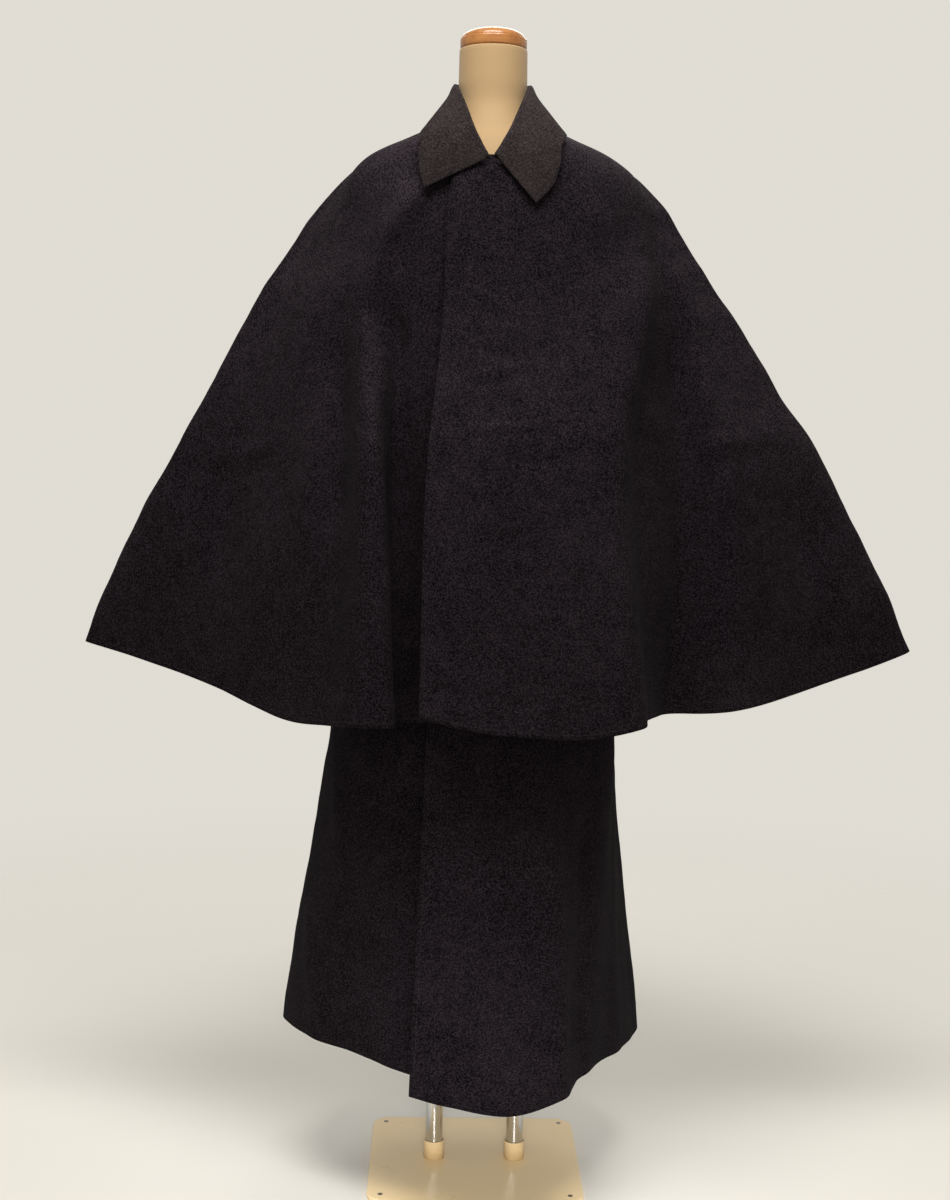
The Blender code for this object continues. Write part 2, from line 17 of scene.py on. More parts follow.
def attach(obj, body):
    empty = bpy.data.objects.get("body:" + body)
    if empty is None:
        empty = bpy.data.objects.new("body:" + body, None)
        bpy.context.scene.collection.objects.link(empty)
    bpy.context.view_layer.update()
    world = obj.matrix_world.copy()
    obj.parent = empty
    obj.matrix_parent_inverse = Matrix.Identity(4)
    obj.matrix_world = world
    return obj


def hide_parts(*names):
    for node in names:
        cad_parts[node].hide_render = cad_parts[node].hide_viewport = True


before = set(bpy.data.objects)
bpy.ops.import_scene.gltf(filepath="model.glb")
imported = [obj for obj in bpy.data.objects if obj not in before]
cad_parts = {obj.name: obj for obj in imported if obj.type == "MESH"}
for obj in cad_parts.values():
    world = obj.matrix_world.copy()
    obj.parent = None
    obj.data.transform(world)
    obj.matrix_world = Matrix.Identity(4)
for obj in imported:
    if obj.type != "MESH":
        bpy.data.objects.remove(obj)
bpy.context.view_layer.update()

# %% [markdown]
# ## The camera
#
# The picture was taken from chest height, about two and a half metres in front of the coat, looking
# slightly down. A camera could be aimed at an empty with a constraint. Here it is turned by three
# plain angles, because each can then be read and changed alone. The lens is long enough that the
# wide wings keep their true outline.

# %% Place the camera
EYE = Vector((-0.0585, -2.521, 1.055))
LENS = 54.0
SENSOR = 36.0
LOOK_DOWN = math.radians(5.4)
LOOK_RIGHT = math.radians(1.05)
TILT = math.radians(1.0)


def place_camera():
    data = bpy.data.cameras.new("camera")
    data.lens = LENS
    data.sensor_width = SENSOR
    camera = bpy.data.objects.new("camera", data)
    bpy.context.scene.collection.objects.link(camera)
    heading = Matrix.Rotation(-LOOK_RIGHT, 4, "Z")
    pitch = Matrix.Rotation(math.pi / 2.0 - LOOK_DOWN, 4, "X")
    camera.matrix_world = Matrix.Translation(EYE) @ heading @ pitch @ Matrix.Rotation(TILT, 4, "Z")
    bpy.context.scene.camera = camera


place_camera()
print("camera at", tuple(round(value, 3) for value in EYE))

# %% [markdown]
# ## Writing finishes as sums
#
# A finish is a small graph of nodes. Adding each node by hand is slow to read, so a wire from a
# node's output takes part in ordinary Python sums, and each sum adds the node it needs. Colours are
# mixed by a node of their own, because a number node would turn them grey.

# %% A wire that can be added, multiplied and mixed


class Wire:
    """One output of a node. Sums on it add nodes to the same finish."""

    def __init__(self, finish, socket):
        self.finish = finish
        self.socket = socket

    def sum(self, operation, *values):
        return self.finish.add("ShaderNodeMath", dict(enumerate(values)), operation=operation)

    def __add__(self, other):
        return self.sum("ADD", self, other)

    def __radd__(self, other):
        return self.sum("ADD", other, self)

    def __sub__(self, other):
        return self.sum("SUBTRACT", self, other)

    def __rsub__(self, other):
        return self.sum("SUBTRACT", other, self)

    def __mul__(self, other):
        return self.sum("MULTIPLY", self, other)

    def sine(self):
        return self.sum("SINE", self)

    def clipped(self):
        return self.finish.add("ShaderNodeClamp", {"Value": self})


class Finish:
    """A material under construction, and the one method that adds any node to it."""

    def __init__(self, name):
        self.material = bpy.data.materials.new(name)
        self.material.use_nodes = True
        self.tree = self.material.node_tree
        self.shader = self.tree.nodes["Principled BSDF"]

    def link(self, value, socket):
        if isinstance(value, Wire):
            self.tree.links.new(value.socket, socket)
        else:
            socket.default_value = value

    def add(self, kind, values=None, output=0, stops=None, **settings):
        node = self.tree.nodes.new(kind)
        for name, setting in settings.items():
            setattr(node, name, setting)
        for index, (place, colour) in enumerate(stops or []):
            ramp = node.color_ramp.elements
            stop = ramp[index] if index < 2 else ramp.new(place)
            stop.position = place
            stop.color = (*colour, 1.0)
        for name, value in (values or {}).items():
            self.link(value, node.inputs[name])
        return Wire(self, node.outputs[output])

    def places(self, scale=(1.0, 1.0, 1.0), output="Object"):
        """Where a point is on the piece, in metres, stretched by the scale."""
        place = self.add("ShaderNodeTexCoord", output=output)
        return self.add("ShaderNodeMapping", {"Vector": place, "Scale": scale})

    def speckle(self, places, scale, detail=2.0, roughness=0.5):
        values = {"Vector": places, "Scale": scale, "Detail": detail, "Roughness": roughness}
        return self.add("ShaderNodeTexNoise", values)

    def mix(self, part, first, second):
        node = self.tree.nodes.new("ShaderNodeMix")
        node.data_type = "RGBA"
        self.link(part, node.inputs["Factor"])
        for socket, colour in zip(node.inputs[6:8], (first, second)):
            self.link(colour if isinstance(colour, Wire) else (*colour, 1.0), socket)
        return Wire(self, node.outputs[2])

    def relief(self, height, depth, strength=1.0):
        """Bumps from a height between 0 and 1, the given number of metres deep."""
        values = {"Height": height, "Distance": depth, "Strength": strength}
        self.surface(Normal=self.add("ShaderNodeBump", values))

    def surface(self, **values):
        for name, value in values.items():
            self.link(value, self.shader.inputs[name.replace("_", " ")])


print("finishes are written as sums on wires")

# %% [markdown]
# ## Black wool
#
# The coat is a napped wool: a close twill under short raised fibres that gather in tiny clumps. The
# nap could be modelled as hair, but each fibre is thinner than a picture element here. So the twill
# and the nap are a relief in real millimetres, and the tips of the fibres are paler specks in the
# colour. Nap that faces up is painted paler still, as painted top light. Fine creases from storage
# run across the cloth. The collar is the same wool in a copy painted lighter, as painted top light.

# %% Make the wool finishes
TWILL_PITCH = 0.0011
NAP_CLUMP = 0.0022
TIP_START = 0.44
TIP_GAIN = 6.0
TIP_SHARE = 0.62
BRUSHED_SHARE = 0.4
CLOUD_SHARE = 0.3
LEAST_PALE = 0.06
# How much paler the nap is drawn facing sideways and facing up: painted top light.
SIDEWAYS_PALE = 0.90
UPWARD_PAINTED_LIGHT = 2.8
TWILL_RELIEF = 0.0006
CREASE_RELIEF = 0.004


def wool(name, deep, tips):
    finish = Finish(name)
    cloth = finish.places(output="UV")
    body = finish.places()
    across = finish.add("ShaderNodeSeparateXYZ", {"Vector": cloth})
    down = finish.add("ShaderNodeSeparateXYZ", {"Vector": cloth}, output=1)
    twill = ((across + down) * (2.0 * math.pi / TWILL_PITCH)).sine() * 0.5 + 0.5
    nap = finish.speckle(body, 1.0 / NAP_CLUMP, detail=2.0, roughness=0.8)
    brushed = finish.speckle(body, 45.0, detail=4.0, roughness=0.6)
    cloud = finish.speckle(body, 6.0, detail=3.0)
    pressed = finish.speckle(finish.places((1.0, 1.0, 4.5)), 13.0, detail=2.0)
    # Painted top light: the next lines make nap that faces up paler, as light from above would.
    normal = finish.add("ShaderNodeNewGeometry", output=1)
    upward = finish.add("ShaderNodeSeparateXYZ", {"Vector": normal}, output=2)
    tip = ((nap - TIP_START) * TIP_GAIN).clipped() * TIP_SHARE
    pale = tip + (brushed - 0.5) * BRUSHED_SHARE + (cloud - 0.5) * CLOUD_SHARE + LEAST_PALE
    pale = pale * (SIDEWAYS_PALE + upward.clipped() * upward.clipped() * UPWARD_PAINTED_LIGHT)
    finish.surface(Base_Color=finish.mix(pale.clipped(), deep, tips))
    finish.surface(Roughness=(0.90 + (brushed - 0.5) * 0.2).clipped())
    weave = {"Height": twill * 0.3 + nap * 0.7, "Distance": TWILL_RELIEF, "Strength": 0.6}
    fine = finish.add("ShaderNodeBump", weave)
    crease = {"Height": pressed * 0.7 + brushed * 0.3, "Distance": CREASE_RELIEF, "Strength": 0.35}
    finish.surface(Normal=finish.add("ShaderNodeBump", {**crease, "Normal": fine}))
    finish.shader.inputs["Specular IOR Level"].default_value = 0.02
    finish.shader.inputs["Sheen Weight"].default_value = 0.01
    finish.shader.inputs["Sheen Roughness"].default_value = 0.5
    return finish.material


COAT_WOOL = wool("coat wool", (0.0019, 0.0014, 0.0023), (0.0296, 0.0229, 0.0280))
# The collar's wool is the coat's wool in a lighter copy: painted top light on the collar.
COLLAR_WOOL_PAINTED_LIGHTER = wool("collar wool painted lighter", (0.0096, 0.0074, 0.0076), (0.0352, 0.0274, 0.0280))


def thread(name, colour):
    finish = Finish(name)
    strands = finish.speckle(finish.places(), 2600.0, detail=1.0)
    finish.surface(Base_Color=finish.mix(strands, colour, [part * 1.8 for part in colour]))
    finish.surface(Roughness=0.6 + strands * 0.2)
    return finish.material


BLACK_THREAD = thread("black thread", (0.004, 0.003, 0.004))
print("wool finishes:", COAT_WOOL.name, "and", COLLAR_WOOL_PAINTED_LIGHTER.name)

# %% [markdown]
# ## The dress form as a reference surface
#
# All the cloth in the upper half lies on the form, a fixed lift away from it. So the form comes
# first, as a formula: a short table of cross sections, and a smooth curve through each column of it.
# A point on it is given by a turn, from 0 at the front to 90 at the wearer's left, and a level.

# %% The form's sections, and a smooth curve through a table

# Columns: height, half width, depth in front, depth behind, squareness of the section (2 is an ellipse)
FORM_LEVELS = np.array([
    (1.5720, 0.0465, 0.0480, 0.0500, 2.0),
    (1.5300, 0.0470, 0.0490, 0.0510, 2.0),
    (1.4950, 0.0480, 0.0510, 0.0550, 2.0),
    (1.4640, 0.0620, 0.0640, 0.0690, 2.0),
    (1.4415, 0.1090, 0.0790, 0.0850, 2.1),
    (1.4150, 0.1650, 0.0920, 0.0970, 2.2),
    (1.3770, 0.1932, 0.1035, 0.1070, 2.3),
    (1.3250, 0.2020, 0.1140, 0.1120, 2.4),
    (1.2500, 0.1960, 0.1210, 0.1120, 2.4),
    (1.1600, 0.1800, 0.1200, 0.1040, 2.4),
    (1.0500, 0.1580, 0.1080, 0.0920, 2.3),
    (0.9300, 0.1650, 0.1080, 0.1000, 2.3),
    (0.8200, 0.1740, 0.1090, 0.1080, 2.3),
    (0.7400, 0.1680, 0.1050, 0.1050, 2.3),
])


def curve(knots, values, places):
    """Points of a smooth curve through the rows of values, at places between its knots."""
    gaps = np.diff(knots)
    steps = np.diff(values, axis=0) / gaps[:, None]
    inner = (steps[:-1] * gaps[1:, None] + steps[1:] * gaps[:-1, None]) / (gaps[1:] + gaps[:-1])[:, None]
    tilt = np.vstack([steps[:1], inner, steps[-1:]])
    places = np.atleast_1d(places)
    first = np.clip(np.searchsorted(knots, places, side="right") - 1, 0, len(knots) - 2)
    gap = gaps[first][:, None]
    part = (places - knots[first])[:, None] / gap
    start, end = values[first], values[first + 1]
    leave, arrive = tilt[first] * gap, tilt[first + 1] * gap
    bend = (3.0 * (end - start) - 2.0 * leave - arrive) * part ** 2
    return start + leave * part + bend + (2.0 * (start - end) + leave + arrive) * part ** 3


def form_point(turn, level):
    """Points on the form's surface."""
    knots = np.arange(len(FORM_LEVELS), dtype=float)
    height, half_width, front, back, square = curve(knots, FORM_LEVELS, level).T
    sine = np.sin(np.radians(turn))
    cosine = np.cos(np.radians(turn))
    x = half_width * np.sign(sine) * np.abs(sine) ** (2.0 / square)
    y = -np.where(cosine > 0.0, front, back) * np.sign(cosine) * np.abs(cosine) ** (2.0 / square)
    return np.stack([x, y, height], axis=-1)


def on_form(turn, level, lift):
    """Points that lie the lift away from the form's surface."""
    across = form_point(turn + 1.0, level) - form_point(turn - 1.0, level)
    down = form_point(turn, level + 0.05) - form_point(turn, level - 0.05)
    outward = np.cross(down, across)
    outward /= np.linalg.norm(outward, axis=-1, keepdims=True)
    return form_point(turn, level) + outward * np.reshape(lift, (-1, 1))


print("the form is", round(2000.0 * FORM_LEVELS[:, 1].max()), "mm across at the chest")

# %% [markdown]
# ## Layers of cloth
#
# Worn cloth is a stack: the form, the coat's right front, the left front over it, the right wing, the
# left wing, and the collar on top. Each layer has a lift above the form. Where the fronts lap, the
# lifts grow by one wall, and that extra fades out towards the sides, as it does in a real coat.

# %% How high each layer lies
WALL = 0.0020
BODY_GAP = 0.0031
CAPE_GAP = 0.0035
LAP_GAP = 0.0012
LAP = WALL + LAP_GAP
LAP_FULL_TURN = 25.0
LAP_END_TURN = 60.0
CAPE_SEAM_TURN = 125.0
CAPE_SEAM_FADE = 20.0


def ease(part):
    """A smooth step from 0 to 1."""
    part = np.clip(part, 0.0, 1.0)
    return part * part * (3.0 - 2.0 * part)


def off_centre(turn):
    return np.abs((turn + 180.0) % 360.0 - 180.0)


def front_lap(turn):
    return LAP * (1.0 - ease((off_centre(turn) - LAP_FULL_TURN) / (LAP_END_TURN - LAP_FULL_TURN)))


def body_lift(turn):
    return BODY_GAP + np.where(turn < 180.0, front_lap(turn), 0.0)


def right_cape_lift(turn):
    return BODY_GAP + WALL + CAPE_GAP + front_lap(turn)


def left_cape_lift(turn):
    return right_cape_lift(turn) + front_lap(turn)


def collar_lift(turn):
    over_cape = 1.0 - ease((off_centre(turn) - CAPE_SEAM_TURN) / CAPE_SEAM_FADE)
    return BODY_GAP + LAP + (WALL + CAPE_GAP) * over_cape + 2.0 * front_lap(turn)


print("the left wing lies", round(1000.0 * float(left_cape_lift(0.0)), 1), "mm above the form in front")

# %% [markdown]
# ## Lines of cloth
#
# Cloth hangs in lines from where it leaves the body. One row of a table is one such line: where it
# starts at the neck, where it leaves the form, and where it is at two heights further down. Ridges
# and hollows are rows that lie further out or in than their neighbours. Smooth curves run through
# the rows, so a dozen of them give a whole wing with its main folds.

# %% The lines of the coat and the wings

# Columns: line, turn at the neck seam, turn and level where it leaves the form,
# then x, y, z at the cape's hem height and x, y, z at the coat's hem.
SEAM_TURN = 97.0
BODY_LINES = [
    ("left edge", -12.5, -15.0, 8.5, -0.076, -0.172, 0.660, -0.092, -0.236, 0.185),
    ("left front", 0.0, 0.0, 8.5, -0.035, -0.182, 0.660, -0.035, -0.244, 0.173),
    ("left middle", 12.0, 13.0, 8.5, 0.025, -0.184, 0.655, 0.040, -0.252, 0.165),
    ("left ridge", 26.0, 25.0, 8.4, 0.082, -0.176, 0.650, 0.113, -0.223, 0.180),
    ("left hollow", 40.0, 38.0, 8.2, 0.132, -0.148, 0.650, 0.135, -0.170, 0.187),
    ("left corner", 56.0, 57.0, 7.9, 0.171, -0.112, 0.645, 0.158, -0.130, 0.192),
    ("left tuck", 76.0, 78.0, 7.5, 0.178, -0.045, 0.650, 0.198, -0.058, 0.189),
    ("left seam", SEAM_TURN, SEAM_TURN, 7.2, 0.183, 0.014, 0.650, 0.236, 0.042, 0.188),
    ("left side of back", 122.0, 120.0, 7.6, 0.172, 0.082, 0.650, 0.208, 0.122, 0.187),
    ("left back tuck", 140.0, 139.0, 7.8, 0.120, 0.118, 0.650, 0.138, 0.163, 0.185),
    ("left back fold", 160.0, 159.0, 8.0, 0.064, 0.148, 0.650, 0.078, 0.222, 0.182),
    ("centre back", 180.0, 180.0, 8.0, 0.000, 0.142, 0.650, -0.006, 0.194, 0.182),
    ("right back fold", 200.0, 201.0, 8.0, -0.066, 0.150, 0.650, -0.088, 0.218, 0.184),
    ("right back tuck", 220.0, 221.0, 7.8, -0.122, 0.120, 0.650, -0.148, 0.158, 0.190),
    ("right side of back", 238.0, 240.0, 7.6, -0.178, 0.084, 0.650, -0.226, 0.122, 0.200),
    ("right seam", 360.0 - SEAM_TURN, 360.0 - SEAM_TURN, 7.2, -0.203, 0.018, 0.650, -0.266, 0.046, 0.209),
    ("right side", 284.0, 282.0, 7.6, -0.208, -0.042, 0.650, -0.270, -0.026, 0.216),
    ("right ridge", 306.0, 303.0, 8.0, -0.180, -0.108, 0.650, -0.224, -0.100, 0.214),
    ("right hollow", 328.0, 328.0, 8.3, -0.116, -0.148, 0.655, -0.138, -0.164, 0.207),
    ("right front", 347.0, 346.0, 8.5, -0.056, -0.156, 0.660, -0.080, -0.196, 0.197),
    ("right edge", 368.0, 370.0, 8.5, 0.020, -0.152, 0.660, -0.018, -0.200, 0.187),
]

# A mirrored wing's turns and x count towards its own side, and its middle height is at the elbow.
LEFT_CAPE_LINES = [
    ("front edge", -12.5, -13.8, 8.0, -0.081, -0.192, 1.000, -0.086, -0.250, 0.688),
    ("front", 5.0, 4.0, 8.0, -0.015, -0.200, 1.000, -0.022, -0.257, 0.673),
    ("front middle", 20.0, 17.0, 8.0, 0.055, -0.203, 1.000, 0.060, -0.260, 0.665),
    ("front side", 36.0, 32.0, 7.6, 0.122, -0.198, 1.000, 0.140, -0.251, 0.664),
    ("ridge", 58.0, 63.0, 6.5, 0.171, -0.182, 1.010, 0.201, -0.228, 0.674),
    ("turn", 66.0, 73.0, 6.2, 0.196, -0.124, 1.020, 0.214, -0.160, 0.674),
    ("tuck", 75.0, 80.0, 5.9, 0.258, -0.074, 1.030, 0.258, -0.086, 0.671),
    ("swell", 82.0, 85.0, 5.7, 0.315, -0.070, 1.050, 0.345, -0.092, 0.678),
    ("face", 88.0, 89.0, 5.5, 0.374, -0.028, 1.080, 0.478, -0.024, 0.708),
    ("tip", 94.0, 93.0, 5.2, 0.412, 0.010, 1.104, 0.608, 0.020, 0.750),
    ("behind tip", 98.0, 96.0, 5.3, 0.392, 0.040, 1.090, 0.560, 0.062, 0.733),
    ("back swell", 103.0, 101.0, 5.5, 0.345, 0.074, 1.065, 0.470, 0.116, 0.708),
    ("back hollow", 108.0, 106.0, 5.7, 0.300, 0.084, 1.040, 0.385, 0.102, 0.685),
    ("back fold", 114.0, 113.0, 6.0, 0.245, 0.112, 1.020, 0.290, 0.146, 0.671),
]
RIGHT_CAPE_LINES = [
    ("under edge", -8.0, -8.0, 8.0, -0.030, -0.160, 1.000, 0.010, -0.196, 0.676),
    ("under", 5.0, 6.0, 8.0, 0.040, -0.160, 1.000, 0.060, -0.198, 0.674),
    ("valley", 14.0, 17.0, 8.0, 0.098, -0.153, 1.000, 0.104, -0.198, 0.671),
    ("strip", 21.0, 26.0, 7.9, 0.132, -0.178, 1.000, 0.120, -0.231, 0.671),
    ("ridge", 33.0, 38.0, 7.5, 0.156, -0.188, 1.000, 0.166, -0.237, 0.672),
    ("outer tuck", 47.0, 51.0, 7.0, 0.192, -0.140, 1.000, 0.206, -0.188, 0.666),
    ("swell", 62.0, 66.0, 6.4, 0.240, -0.120, 1.010, 0.264, -0.142, 0.665),
    ("hollow", 78.0, 81.0, 5.8, 0.330, -0.048, 1.040, 0.370, -0.066, 0.699),
    ("face", 88.0, 89.0, 5.5, 0.374, -0.018, 1.060, 0.476, -0.014, 0.727),
    ("tip", 94.0, 93.0, 5.2, 0.403, 0.010, 1.074, 0.561, 0.020, 0.747),
    ("behind tip", 98.0, 96.0, 5.3, 0.378, 0.038, 1.065, 0.522, 0.054, 0.732),
    ("back swell", 103.0, 101.0, 5.5, 0.330, 0.078, 1.050, 0.430, 0.118, 0.706),
    ("back hollow", 108.0, 106.0, 5.7, 0.285, 0.082, 1.030, 0.350, 0.100, 0.684),
    ("back fold", 114.0, 113.0, 6.0, 0.240, 0.110, 1.010, 0.276, 0.142, 0.672),
]
print("lines of cloth:", len(BODY_LINES), len(LEFT_CAPE_LINES), len(RIGHT_CAPE_LINES))

# %% Run one line of cloth down from the neck
NECK_BACK_LEVEL = 2.7
NECK_DROP = 2.8
NECK_DROP_TURN = 24.0
FORM_STEPS = 9
RESTING_ROWS = 42
UPPER_ROWS = 62
LOWER_ROWS = 50


def neck_level(turn):
    """Level of the neck seam, which drops to a notch at the centre front."""
    return NECK_BACK_LEVEL + NECK_DROP / (1.0 + (off_centre(turn) / NECK_DROP_TURN) ** 2)


def chord_places(points, power):
    steps = np.linalg.norm(np.diff(points, axis=0), axis=1) ** power
    return np.concatenate([[0.0], np.cumsum(steps)])


def cloth_line(row, lift):
    """Points down one line: over the form, then free to the middle height and the hem."""
    start = (row[0], neck_level(row[0]))
    end = (row[1], row[2])

    def resting(steps):
        turn = np.linspace(start[0], end[0], steps + 1)
        level = np.linspace(start[1], end[1], steps + 1)
        return on_form(turn, level, lift(turn))

    guides = np.vstack([resting(FORM_STEPS), row[3:6], row[6:9]])
    places = chord_places(guides, 1.0)
    upper = np.linspace(places[-3], places[-2], UPPER_ROWS + 1)[1:]
    lower = np.linspace(places[-2], places[-1], LOWER_ROWS + 1)[1:]
    return np.vstack([resting(RESTING_ROWS), curve(places, guides, np.concatenate([upper, lower]))])


def line_table(lines):
    return np.array([line[1:] for line in lines])


def columns_between(places, spots, width):
    """Places across the cloth: each line of the table, and even steps of about one width between."""
    found = [places[:1]]
    for start, end, gap in zip(places, places[1:], np.linalg.norm(np.diff(spots, axis=0), axis=1)):
        found.append(np.linspace(start, end, max(1, round(gap / width)) + 1)[1:])
    return np.concatenate(found)


print("each line has", RESTING_ROWS + UPPER_ROWS + LOWER_ROWS + 1, "points")

# %% [markdown]
# ## Coat panels with armholes
#
# The coat's body is one surface, cut at two side seams into a back and two fronts. Its armholes are
# deep curves in the side edges. They could be cut with a boolean, which leaves ragged faces. Here
# each row of a panel is drawn in towards the panel's fixed side, so the faces stay even.

# %% Cut the coat's panels
ARMHOLE_TOP = 1.395
ARMHOLE_FOOT = 1.000
FRONT_SCOOP = 0.30
BACK_SCOOP = 0.13
SEAM_GAP = 0.0005
BODY_COLUMN_WIDTH = 0.0062


def armhole_scoop(height):
    part = (ARMHOLE_TOP - height) / (ARMHOLE_TOP - ARMHOLE_FOOT)
    return np.where((part > 0.0) & (part < 1.0), np.sin(math.pi * part), 0.0)


def body_panel(first_name, last_name):
    """Grid of one panel of the coat, with the armholes cut out of its side edges."""
    names = [line[0] for line in BODY_LINES]
    table = line_table(BODY_LINES)
    all_places = chord_places(table[:, 6:9], 0.5)
    part = slice(names.index(first_name), names.index(last_name) + 1)
    columns = columns_between(all_places[part], table[part, 6:9], BODY_COLUMN_WIDTH)
    whole = np.array([cloth_line(row, body_lift) for row in curve(all_places, table, columns)])
    cut_first = first_name.endswith("seam")
    cut_last = last_name.endswith("seam")
    fixed = (columns[0] + columns[-1]) / 2.0 if cut_first and cut_last else columns[-1 if cut_first else 0]
    scoop = BACK_SCOOP if cut_first and cut_last else FRONT_SCOOP
    grid = whole.copy()
    for row in range(whole.shape[1]):
        drawn = columns + (fixed - columns) * scoop * armhole_scoop(whole[:, row, 2])
        grid[:, row] = curve(columns, whole[:, row], drawn)
    for cut, edge, neighbour in ((cut_first, 0, 1), (cut_last, -1, -2)):
        if cut:
            inward = grid[neighbour] - grid[edge]
            grid[edge] += inward / np.linalg.norm(inward, axis=1)[:, None] * SEAM_GAP / 2.0
    return grid


panels = {
    "front_left": body_panel("left edge", "left seam"),
    "back": body_panel("left seam", "right seam"),
    "front_right": body_panel("right seam", "right edge"),
}
print("coat panels:", {name: grid.shape[:2] for name, grid in panels.items()})

# %% [markdown]
# ## The wings
#
# Each wing is a wide piece from the front edge, over the shoulder, to a seam on the coat's back. Its
# last line is worked out from the coat's own line, so the two stay sewn together. The right wing is
# the left one's mirror image with a table of its own, because the two hang differently.

# %% Hang the wings
CAPE_SEAM_MIDDLE = 1.000
CAPE_SEAM_FOOT = 0.668
CAPE_SEAM_OUTWARD = (0.75, 0.66)
CAPE_COLUMN_WIDTH = 0.0058


def seam_line(name, side):
    """The line where a wing is sewn on the back, as a line of the wing's own table."""
    row = line_table([line for line in BODY_LINES if line[0] == name])[0]
    points = cloth_line(row, body_lift)[::-1]
    shift = np.array([CAPE_SEAM_OUTWARD[0] * side, CAPE_SEAM_OUTWARD[1], 0.0]) * (WALL + CAPE_GAP)
    ends = []
    for height in (CAPE_SEAM_MIDDLE, CAPE_SEAM_FOOT):
        spot = [np.interp(height, points[:, 2], points[:, axis]) for axis in range(3)]
        ends.extend((spot + shift) * (side, 1.0, 1.0))
    turns = row[:2] if side > 0 else 360.0 - row[:2]
    return [("back seam", *turns, row[2], *ends)]


def cape_wing(lines, lift, seam_name, side):
    table = line_table(lines + seam_line(seam_name, side))
    places = chord_places(table[:, 6:9], 0.5)
    rows = curve(places, table, columns_between(places, table[:, 6:9], CAPE_COLUMN_WIDTH))
    grid = np.array([cloth_line(row, lift) for row in rows])
    return grid if side > 0 else grid[::-1] * (-1.0, 1.0, 1.0)


panels["cape_left"] = cape_wing(LEFT_CAPE_LINES, left_cape_lift, "left side of back", 1)
panels["cape_right"] = cape_wing(RIGHT_CAPE_LINES, right_cape_lift, "right side of back", -1)
print("wings:", panels["cape_left"].shape[:2], panels["cape_right"].shape[:2])

# %% [markdown]
# ## The collar
#
# A turned-down collar is one band that stands up from the neck seam, rolls over and falls outside.
# Each line of it runs through seven guide points, with three close together at the roll, so that
# the fold is tight but round. Its two leaves differ, because the collar sits a little askew.

# %% Roll the collar

# Columns: line, turn at the seam, x, y, z of the roll, turn and level of the free edge, how far it bows
LEFT_COLLAR_LINES = [
    ("point", 1.5, 0.003, -0.1190, 1.413, 12.0, 6.66, 0.0010),
    ("front", 11.0, 0.021, -0.1010, 1.446, 18.6, 6.20, 0.0050),
    ("front fall", 24.0, 0.0390, -0.0620, 1.490, 24.0, 5.60, 0.0070),
    ("shoulder", 42.0, 0.0480, -0.0300, 1.514, 33.0, 4.70, 0.0030),
    ("side front", 62.0, 0.0508, -0.0105, 1.522, 53.0, 3.75, -0.0010),
    ("side", 88.0, 0.0514, 0.0100, 1.526, 80.0, 3.36, -0.0020),
    ("side back", 120.0, 0.0450, 0.0360, 1.530, 115.0, 3.46, -0.0010),
    ("back", 152.0, 0.0260, 0.0545, 1.533, 150.0, 4.00, 0.0020),
]
RIGHT_COLLAR_LINES = [
    ("point", 2.5, 0.008, -0.1185, 1.411, 22.0, 6.34, 0.0010),
    ("front", 12.0, 0.025, -0.1010, 1.446, 25.0, 5.90, 0.0050),
    ("front fall", 24.0, 0.0400, -0.0630, 1.489, 29.0, 5.35, 0.0070),
    ("shoulder", 42.0, 0.0485, -0.0300, 1.514, 36.0, 4.55, 0.0030),
    ("side front", 62.0, 0.0508, -0.0105, 1.522, 55.0, 3.75, -0.0010),
    ("side", 88.0, 0.0514, 0.0100, 1.526, 82.0, 3.36, -0.0020),
    ("side back", 120.0, 0.0450, 0.0360, 1.530, 115.0, 3.46, -0.0010),
    ("back", 152.0, 0.0260, 0.0545, 1.533, 150.0, 4.00, 0.0020),
]
COLLAR_BACK_LINE = ("centre back", 180.0, 0.0, 0.0600, 1.534, 180.0, 4.40, 0.0020)
COLLAR_SEAM_RISE = 0.26
COLLAR_SEAM_DEPTH = 0.5
COLLAR_ROLL = 0.0022
COLLAR_COLUMN_WIDTH = 0.0030
COLLAR_ROWS = 50


def collar_line(row):
    """Points of one line of the collar: up the stand, over the roll, and down the fall."""
    seam_turn, roll, edge_turn, edge_level, belly = row[0], row[1:4], row[4], row[5], row[6]
    seam_level = neck_level(seam_turn)
    seam = on_form(seam_turn, seam_level - COLLAR_SEAM_RISE, collar_lift(seam_turn) * COLLAR_SEAM_DEPTH)[0]
    edge = on_form(edge_turn, edge_level, collar_lift(edge_turn))[0]
    middle_turn = (seam_turn + edge_turn) / 2.0
    middle_level = (seam_level + edge_level) / 2.0
    bow = (on_form(middle_turn, middle_level, belly) - form_point(middle_turn, middle_level))[0]
    outward = (edge - seam) * (1.0, 1.0, 0.0)
    outward *= COLLAR_ROLL / np.linalg.norm(outward)
    drop = np.array([0.0, 0.0, COLLAR_ROLL])
    inner = roll - drop - outward
    outer = roll - drop + outward
    guides = np.array([seam, (seam + inner) / 2.0, inner, roll, outer, (roll + edge) / 2.0 + bow, edge])
    places = chord_places(guides, 0.5)
    return curve(places, guides, np.linspace(0.0, places[-1], COLLAR_ROWS))


def collar_grid():
    left = line_table(LEFT_COLLAR_LINES)
    right = line_table(RIGHT_COLLAR_LINES)
    right[:, (0, 4)] = 360.0 - right[:, (0, 4)]
    right[:, 1] *= -1.0
    table = np.vstack([left, line_table([COLLAR_BACK_LINE]), right[::-1]])
    places = chord_places(table[:, 1:4], 0.5)
    rows = curve(places, table, columns_between(places, table[:, 1:4], COLLAR_COLUMN_WIDTH))
    return np.array([collar_line(row) for row in rows])


panels["collar"] = collar_grid()
print("collar:", panels["collar"].shape[:2])
